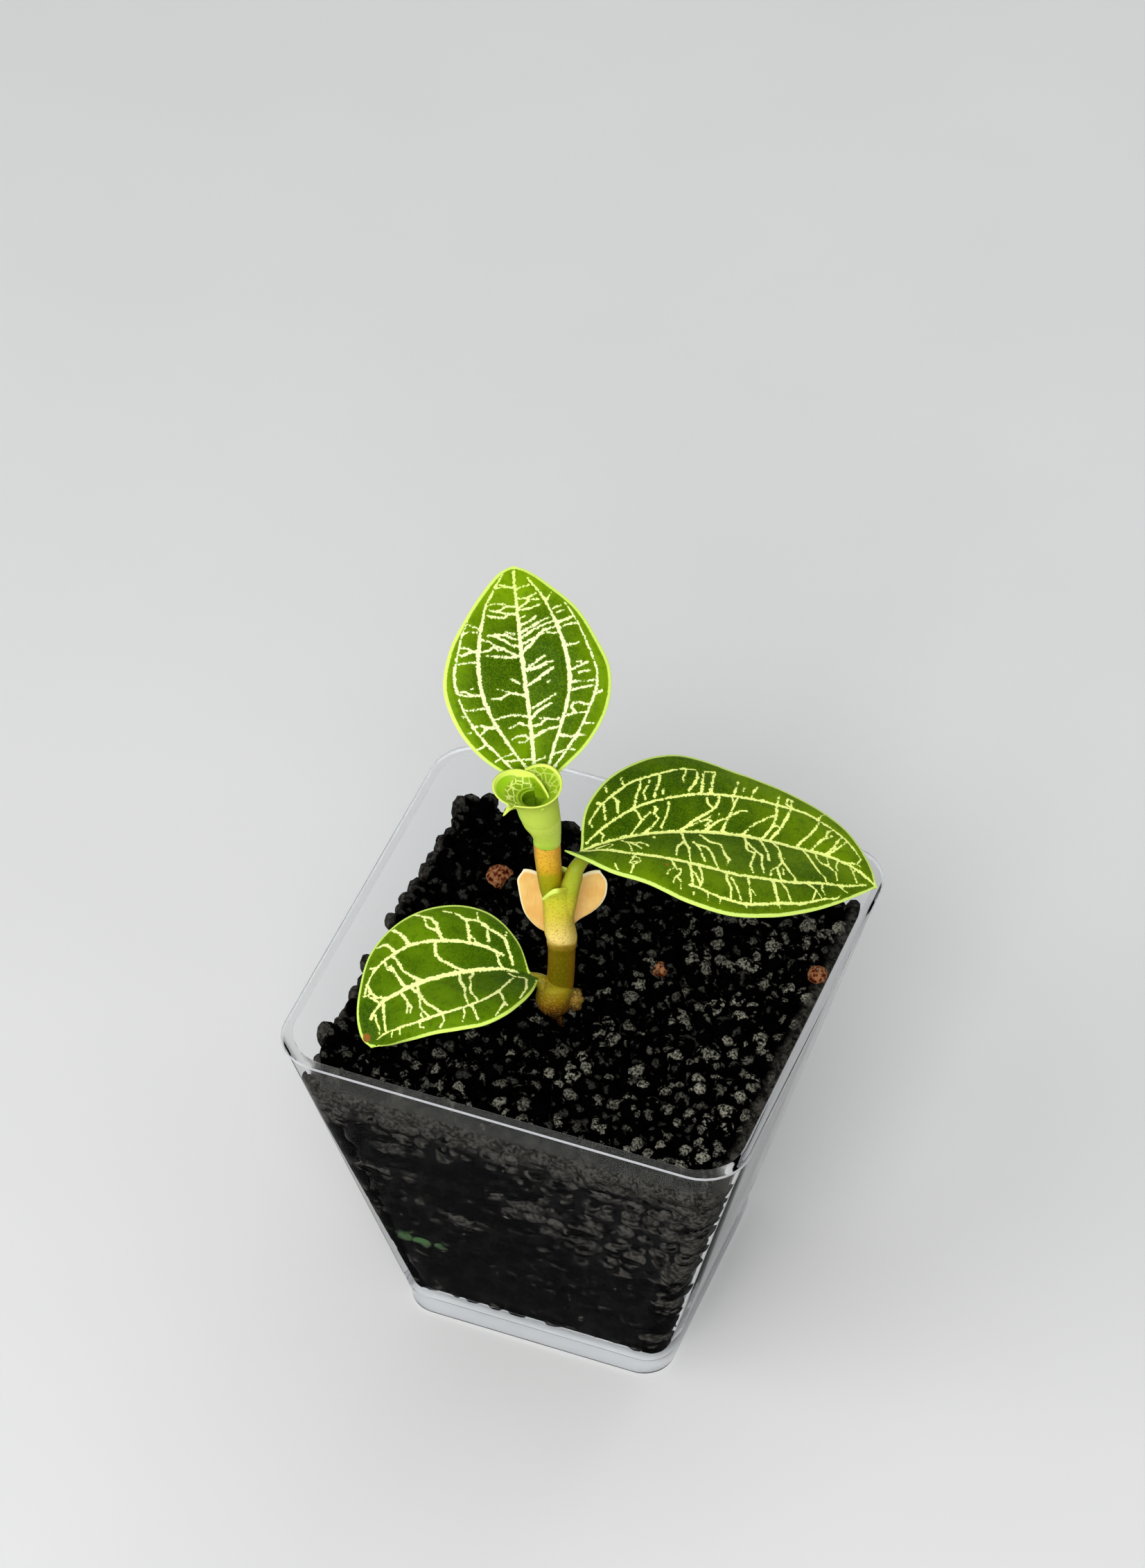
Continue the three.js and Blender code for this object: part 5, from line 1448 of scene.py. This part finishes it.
# %% The rolled leaf's measures
ROLL_RADII = [
    # turn in degrees, radius at the mouth
    (-62, 4.0), (-40, 3.6), (-17, 2.9), (5, 2.25), (30, 2.05), (55, 2.1), (72, 2.55), (95, 2.95),
    (114, 3.55), (141, 4.25), (160, 4.5), (183, 4.55), (205, 4.45), (228, 4.3), (252, 4.0), (270, 3.95),
    (290, 4.15), (322, 4.3), (358, 4.45), (394, 4.85), (415, 5.0), (432, 4.6), (445, 3.8), (457, 3.3),
]
ROLL_ROWS = np.array([
    # across, back, height, size as a share of the mouth's
    (-2.1, 0, 86.6, 0.37), (-2.45, 0, 87.6, 0.47), (-2.75, 0, 88.7, 0.555), (-3.0, 0, 89.8, 0.6),
    (-3.2, 0, 90.9, 0.615), (-3.5, 0, 92.0, 0.65), (-3.85, 0.03, 92.95, 0.735),
    (-4.25, 0.07, 93.75, 0.87), (-4.54, 0.1, 94.4, 1.0),
])
THROAT_RADIUS, ROLL_THICKNESS = 4.45, 0.3
HOLE_RADIUS, HOLE_SHARE = 1.5, 0.4
HOLE_ROWS = np.array([
    # across, back, height of the inner face
    (-3.5, 0, 90.9), (-3.55, 0, 91.0), (-3.7, 0, 92.2), (-4.0, 0.02, 92.75), (-4.35, 0.06, 93.5),
    (-4.54, 0.1, 94.4),
])
FOLD_END, FOLD_DROP = 60, 1.1
LOBE_TURNS, LOBE_DEPTH = (290, 330), 0.5
ROUND_TURNS, ROUND_HEIGHTS = (100, 170), (89, 93)
POINT_TURN, POINT_HALF_TURN, POINT_PROUD, POINT_DROP, POINT_BACK = 240, 3.6, 1.9, 0.35, 0.1
FUNNEL_ROWS, FUNNEL_STEPS = 72, 340


# %% The rolled leaf's surface
def between(low, high, degrees):
    """0 below one turn in degrees and 1 above the other, smooth between."""
    return smooth_step(np.radians(low), np.radians(high), np.radians(degrees))


def rolled_leaf():
    """Outer face: centre + size x spiral radius, rounder in the throat. Inner face: the radius runs
    from the spiral's to the hole's. The fold dips at its start, the right lobe is shallow, and a
    bell makes the leaf's point."""
    degrees = np.linspace(ROLL_RADII[0][0], ROLL_RADII[-1][0], FUNNEL_STEPS)
    turn = np.radians(degrees)
    share = np.linspace(0, 1, FUNNEL_ROWS)
    across, back, height, size = (column[:, None] for column in spline(ROLL_ROWS, share).T)
    spiral = line_at(ROLL_RADII, degrees, reach=14)[0][None, :]
    rounding = between(*ROUND_TURNS, degrees) * (1 - smooth_step(*ROUND_HEIGHTS, height))
    bell = share[:, None] ** 12 * np.exp(-(((degrees - POINT_TURN) / POINT_HALF_TURN) ** 2))
    fold = 1 - between(ROLL_RADII[0][0], FOLD_END, degrees)
    dip = FOLD_DROP * fold * share[:, None] ** 3 + POINT_DROP * bell
    radius = size * (spiral + (THROAT_RADIUS - spiral) * rounding)
    radius = np.maximum(radius, HOLE_RADIUS + ROLL_THICKNESS) + POINT_PROUD * bell
    outer = around(across, back, radius, height - dip, turn)
    hole_across, hole_back, hole_height = (column[:, None] for column in spline(HOLE_ROWS, share).T)
    second_turn = between(*LOBE_TURNS, degrees)
    hole_height = HOLE_ROWS[-1, 2] - (HOLE_ROWS[-1, 2] - hole_height) * (1 - LOBE_DEPTH * second_turn)
    open_share = smooth_step(HOLE_SHARE, 1.0, share)[:, None] ** 0.8
    floor_share = np.sqrt(smooth_step(0, 0.5 * HOLE_SHARE, share))[:, None]
    hole_radius = (HOLE_RADIUS + ROLL_THICKNESS * second_turn) * (0.02 + 0.98 * floor_share)
    radius = hole_radius + (spiral - ROLL_THICKNESS - hole_radius) * open_share
    radius = radius + (POINT_PROUD - POINT_BACK) * bell
    inner = around(hole_across, hole_back, radius, hole_height - dip, turn)
    return outer, inner, share, degrees


def two_faced_sheet(front, rear):
    """A closed sheet from two grids of the same size, joined round the border."""
    rows, columns = front.shape[:2]
    first = rows * columns
    rim = rim_of(rows, columns)
    after = np.roll(rim, -1)
    border = np.stack([rim, rim + first, after + first, after], -1)
    quads = grid_quads(rows, columns)
    points = np.concatenate([front.reshape(-1, 3), rear.reshape(-1, 3)])
    return points, [quads, (quads + first)[:, ::-1], border]


# %% [markdown]
# Outside, the funnel is as pale as a stem, with a lime stripe on its left. Inside, its bowls show
# the upper face of a leaf, with a net of veins, and two bright lines where deeper layers end, and
# painted shade darkens them towards the throat. The mouth's edge is lime. All these places are
# marked on the mesh by the turn and the height.

# %% The rolled leaf's finish
def make_funnel_finish():
    """Pale wall with a lime stripe, a lime rim, and a green bowl that painted shade darkens towards
    the throat, with a net of pale veins: the edges of noise cells."""
    material, tree, shader = new_finish("new_leaf_skin", roughness=0.4, specular_ior_level=0.15,
                                        subsurface_weight=0.08, subsurface_scale=0.0008)
    place = place_of(tree)
    ragged = noise(tree, 0.5, detail=2, vector=place)
    inputs = {"Vector": place, "Scale": 1 / (0.95 * MM), "Randomness": 1.0}
    cells = add(tree, "ShaderNodeTexVoronoi", inputs, feature="DISTANCE_TO_EDGE")
    wobble = scaled(tree, noise(tree, 0.25, detail=2), -0.08, 0.08)
    edge = maths(tree, "ADD", cells.outputs["Distance"], wobble)
    marks = maths(tree, "MULTIPLY", fade(tree, edge, 0.12, 0.03), read(tree, "net"))
    outer_skin = blend(tree, read(tree, "stripe"), paint(184, 202, 76), paint(158, 210, 20))
    # Painted shade: the bowl darkens deeper in the throat.
    bowl = blend(tree, read(tree, "deep"), paint(148, 180, 16), paint(92, 124, 0))
    bowl = blend(tree, marks, bowl, paint(232, 246, 130))
    bowl = blend(tree, read(tree, "layers"), bowl, paint(190, 218, 50))
    body = blend(tree, read(tree, "inside"), outer_skin, bowl)
    body = blend(tree, read(tree, "mouth"), body, paint(238, 254, 112))
    body = blend(tree, maths(tree, "MULTIPLY", ragged, 0.2), body, paint(130, 180, 40))
    feed(tree, shader, "Base Color", body)
    bump(tree, shader, ragged, 0.06, 0.5)
    return material


outer, inner, share, degrees = rolled_leaf()
low, wrap = (grid * np.ones(outer.shape[:2]) for grid in (share[:, None], degrees[None]))
first_turn = 1 - between(80, 110, wrap)
left_part = between(60, 110, wrap) * (1 - between(235, 265, wrap))
right_part = between(335, 350, wrap)
net = smooth_step(0.5, 0.6, low) * (1 - smooth_step(0.86, 0.94, low)) * (left_part + 0.6 * right_part)
layers = sum(np.exp(-(((low - level) / 0.014) ** 2)) for level in (0.44, 0.53))
stripe = smooth_step(0.6, 0.95, -np.cos(np.radians(wrap) + 0.1))
outside_and_inside = {
    "inside": (first_turn, np.ones_like(low)),
    # Painted shade deep in the throat, and a little on the fold inside the mouth.
    "deep": (first_turn * 0.25, (1 - smooth_step(0.38, 0.8, low)) * (1 - 0.5 * right_part)),
    "net": (np.zeros_like(low), net),
    "layers": (np.zeros_like(low), layers * left_part),
    "mouth": (smooth_step(0.955, 0.985, low), smooth_step(0.88, 0.92, low + 0.09 * left_part)),
    "stripe": (stripe, stripe),
}
make_piece("leaf_rolled_funnel", *two_faced_sheet(outer, inner), make_funnel_finish(), "new_leaf",
           "leaf_rolled", {name: np.stack(pair) for name, pair in outside_and_inside.items()})

# %% [markdown]
# ## The faded leaf
#
# Behind the stem stands an old, dried leaf. It has lost its green and is evenly peach coloured,
# with a thin pale edge. Its outline is a heart, given by half widths at nine heights, and it is
# slightly cupped. Paper-thin dry tissue shows faint fibres, so its noise is stretched upwards.

# %% The faded leaf
FADED_ROWS, FADED_COLUMNS = 81, 97
FADED_FOOT, FADED_HEIGHT, FADED_NOTCH = 64.6, 11.6, 2.4
FADED_DEPTH, FADED_LEAN, FADED_CUP, FADED_BACK = 2.3, 0.1, 0.02, 0.35
FADED_LEFT = [1.0, 2.9, 4.05, 4.8, 5.2, 5.45, 5.65, 5.75, 5.0]
FADED_RIGHT = [0.7, 1.2, 2.3, 3.9, 5.05, 5.7, 5.95, 5.85, 5.0]
FADED_THICKNESS, FADED_EDGE = 0.4, 0.35


def faded_leaf():
    """Height h and side v: up = foot + height h - notch (cos(90 v) h)^2, back leans and is cupped.
    Also how far each point lies from the margin, as a share."""
    h, v = np.meshgrid(np.linspace(0, 1, FADED_ROWS), np.linspace(-1, 1, FADED_COLUMNS), indexing="ij")
    across = v * np.where(v < 0, spline(FADED_LEFT, h), spline(FADED_RIGHT, h))
    up = FADED_FOOT + FADED_HEIGHT * h - FADED_NOTCH * (np.cos(np.pi / 2 * v) * h) ** 2
    back = FADED_DEPTH + FADED_LEAN * (up - FADED_FOOT) - FADED_CUP * across**2
    edge = np.minimum(1 - np.abs(v), 1 - h)
    rounded = np.sqrt(smooth_step(0, 0.12, edge))
    thick = FADED_THICKNESS * (FADED_EDGE + (1 - FADED_EDGE) * rounded) / 2
    middle = back + FADED_BACK
    return on_plant(across, middle - thick, up), on_plant(across, middle + thick, up), edge


def make_faded_finish():
    """Peach paper with soft clouds, faint upright fibres and a pale edge."""
    material, tree, shader = new_finish("faded_leaf_skin", roughness=0.55, specular_ior_level=0.25,
                                        subsurface_weight=0.2, subsurface_scale=0.0008)
    clouds = noise(tree, 2.5, detail=3)
    colour = blend(tree, fade(tree, clouds, 0.3, 0.7), paint(243, 190, 106), paint(250, 208, 128))
    stretched = {0: place_of(tree), 1: (1.0, 1.0, 0.15)}
    upright = add(tree, "ShaderNodeVectorMath", stretched, operation="MULTIPLY")
    fibres = noise(tree, 0.35, detail=3, vector=upright.outputs[0])
    colour = tint(tree, fade(tree, fibres, 0.5, 0.75), 0.3, colour, paint(228, 168, 84))
    colour = blend(tree, fade(tree, read(tree, "edge"), 0.05, 0.012), colour, paint(254, 238, 200))
    feed(tree, shader, "Base Color", colour)
    bump(tree, shader, fibres, 0.04, 0.5)
    return material


front, rear, edge = faded_leaf()
make_piece("leaf_faded_heart", *two_faced_sheet(front, rear), make_faded_finish(), "faded_leaf",
           "leaf_faded", {"edge": np.stack([edge, edge])})

# %% [markdown]
# ## Root nub and fuzz
#
# At the foot a young root has just broken through the stem. It is longish and golden brown, lumpy,
# and covered with short hairs. The hairs are slim three-sided spikes, enough to blur its edge.

# %% The root nub
NUB_PLACE, NUB_HALF = on_plant(1.95, 0.2, 55.0), np.array([0.98, 0.9, 1.85])
HAIRS, HAIR_LENGTH, HAIR_WIDTH = 900, 0.4, 0.035
HAIR_SHORTEST, HAIR_RISE, HAIR_ROOT = 0.4, 0.2, 0.96


def lumpy_nub(directions):
    """Half sizes x (1 + small waves) along each direction."""
    x, y, z = np.moveaxis(directions, -1, 0)
    swell = 1 + 0.09 * np.sin(6 * x + 3 * z) * np.cos(5 * y) + 0.08 * np.sin(9 * z + 4 * y)
    return NUB_PLACE + directions * NUB_HALF * swell[..., None]


def spikes(roots, directions, length, width):
    """Three-sided spikes from each root point: a small triangle and a tip."""
    side = unit(np.cross(directions, UP + 0.01))
    other = np.cross(directions, side)
    turn = np.radians([0, 120, 240])[:, None, None]
    base = roots + width * (np.cos(turn) * side + np.sin(turn) * other)
    tips = roots + directions * length[:, None]
    points = np.concatenate([base, tips[None]]).transpose(1, 0, 2).reshape(-1, 3)
    pattern = np.array([[0, 1, 3], [1, 2, 3], [2, 0, 3], [0, 2, 1]])
    faces = (pattern[None] + 4 * np.arange(len(roots))[:, None, None]).reshape(-1, 3)
    return points, [faces]


# The root's flank tints are painted shade down its sides.
fuzz_finish = make_stem_finish(
    "root_skin", [(53, 50, 26, 6), (54.2, 96, 66, 16), (55.4, 158, 124, 46), (56.6, 120, 94, 34)],
    speckle=(206, 176, 92), right=(0.3, 104, 66, 20), left=(0.3, 150, 112, 26))
make_piece("root_nub", *closed_tube(lumpy_nub(ball_rings(35, 64))), fuzz_finish, "stem", "stem")
hair_ways = unit(draw.normal(size=(HAIRS, 3)) + [0, 0, HAIR_RISE])
hair_lengths = draw.uniform(HAIR_SHORTEST, 1.0, HAIRS) * HAIR_LENGTH
hairs = spikes(lumpy_nub(hair_ways * HAIR_ROOT), hair_ways, hair_lengths, HAIR_WIDTH)
make_piece("root_hairs", *hairs, fuzz_finish, "stem", "stem")

# %% [markdown]
# ## Floor, light and camera
#
# The floor is plain and pale. A soft lamp stands in front of the plant, close to the camera, a
# weaker one fills the shadows from the left, and a faint one from behind gives the leaves a rim of
# light. A pale sky all round keeps the plastic's edges readable. The camera looks down at 44 degrees
# from 0.83 m away with a long lens.

# %% The floor
FLOOR_SIZE, FLOOR_GAP = 4.0, 0.1


def make_floor():
    """One square, a little below the pot so that the two don't flicker."""
    mesh = bpy.data.meshes.new("floor")
    corners = np.array([(-1, -1, 0), (1, -1, 0), (1, 1, 0), (-1, 1, 0)]) * FLOOR_SIZE / 2
    mesh.from_pydata(corners.tolist(), [], [(0, 1, 2, 3)])
    material, tree, shader = new_finish("floor_paper", roughness=0.85, specular_ior_level=0.2)
    paper = blend(tree, noise(tree, 40), paint(226, 226, 224), paint(231, 231, 229))
    feed(tree, shader, "Base Color", paper)
    mesh.materials.append(material)
    floor = bpy.data.objects.new("floor", mesh)
    floor.location.z = -FLOOR_GAP * MM
    bpy.context.scene.collection.objects.link(floor)


make_floor()

# %% The lights
LAMPS = [
    # name, place and size in metres, power in watts
    ("key", (0.12, -0.6, 0.6), 0.4, 4.4), ("fill", (-0.5, -0.5, 0.45), 0.6, 2.0),
    ("back", (0.1, 0.7, 0.5), 0.5, 0.9),
]
LIT_POINT = Vector((0, 0, 0.06))
SKY_COLOUR, SKY_STRENGTH = (0.9, 0.92, 0.95, 1), 0.45


def soft_light(name, place, size, power):
    """A square area lamp, turned to the plant."""
    lamp = bpy.data.lights.new(name, "AREA")
    lamp.size, lamp.energy = size, power
    light = bpy.data.objects.new(name, lamp)
    light.location = place
    light.rotation_euler = (LIT_POINT - Vector(place)).to_track_quat("-Z", "Y").to_euler()
    bpy.context.scene.collection.objects.link(light)


for lamp in LAMPS:
    soft_light(*lamp)
world = bpy.data.worlds.new("pale_sky")
bpy.context.scene.world = world
world.use_nodes = True
world.node_tree.nodes["Background"].inputs["Color"].default_value = SKY_COLOUR
world.node_tree.nodes["Background"].inputs["Strength"].default_value = SKY_STRENGTH
bpy.context.scene.view_settings.view_transform = "Standard"

# %% The camera
AZIMUTH, ELEVATION, ROLL = np.radians([20.286, 44.042, 0.866])
TARGET = np.array([-13.26, 29.51, 58.44])
DISTANCE = 832.5
LENS, SENSOR, FAR_LIMIT = 140.03, 36.0, 20


def aim_camera():
    """Stands DISTANCE back from TARGET at the azimuth and elevation, rolled about the view line."""
    flat = np.cos(ELEVATION)
    back = np.array([np.sin(AZIMUTH) * flat, -np.cos(AZIMUTH) * flat, np.sin(ELEVATION)])
    level = unit(np.cross(-back, UP))
    over = np.cross(level, -back)
    right = np.cos(ROLL) * level + np.sin(ROLL) * over
    above = np.cos(ROLL) * over - np.sin(ROLL) * level
    pose = Matrix(np.column_stack([right, above, back]).tolist()).to_4x4()
    pose.translation = Vector((TARGET + back * DISTANCE) * MM)
    lens = bpy.data.cameras.new("camera")
    lens.lens, lens.sensor_width, lens.clip_end = LENS, SENSOR, FAR_LIMIT
    camera = bpy.data.objects.new("camera", lens)
    camera.matrix_world = pose
    bpy.context.scene.collection.objects.link(camera)
    bpy.context.scene.camera = camera


aim_camera()
print("camera at", np.round(np.array(bpy.context.scene.camera.location) / MM).tolist())
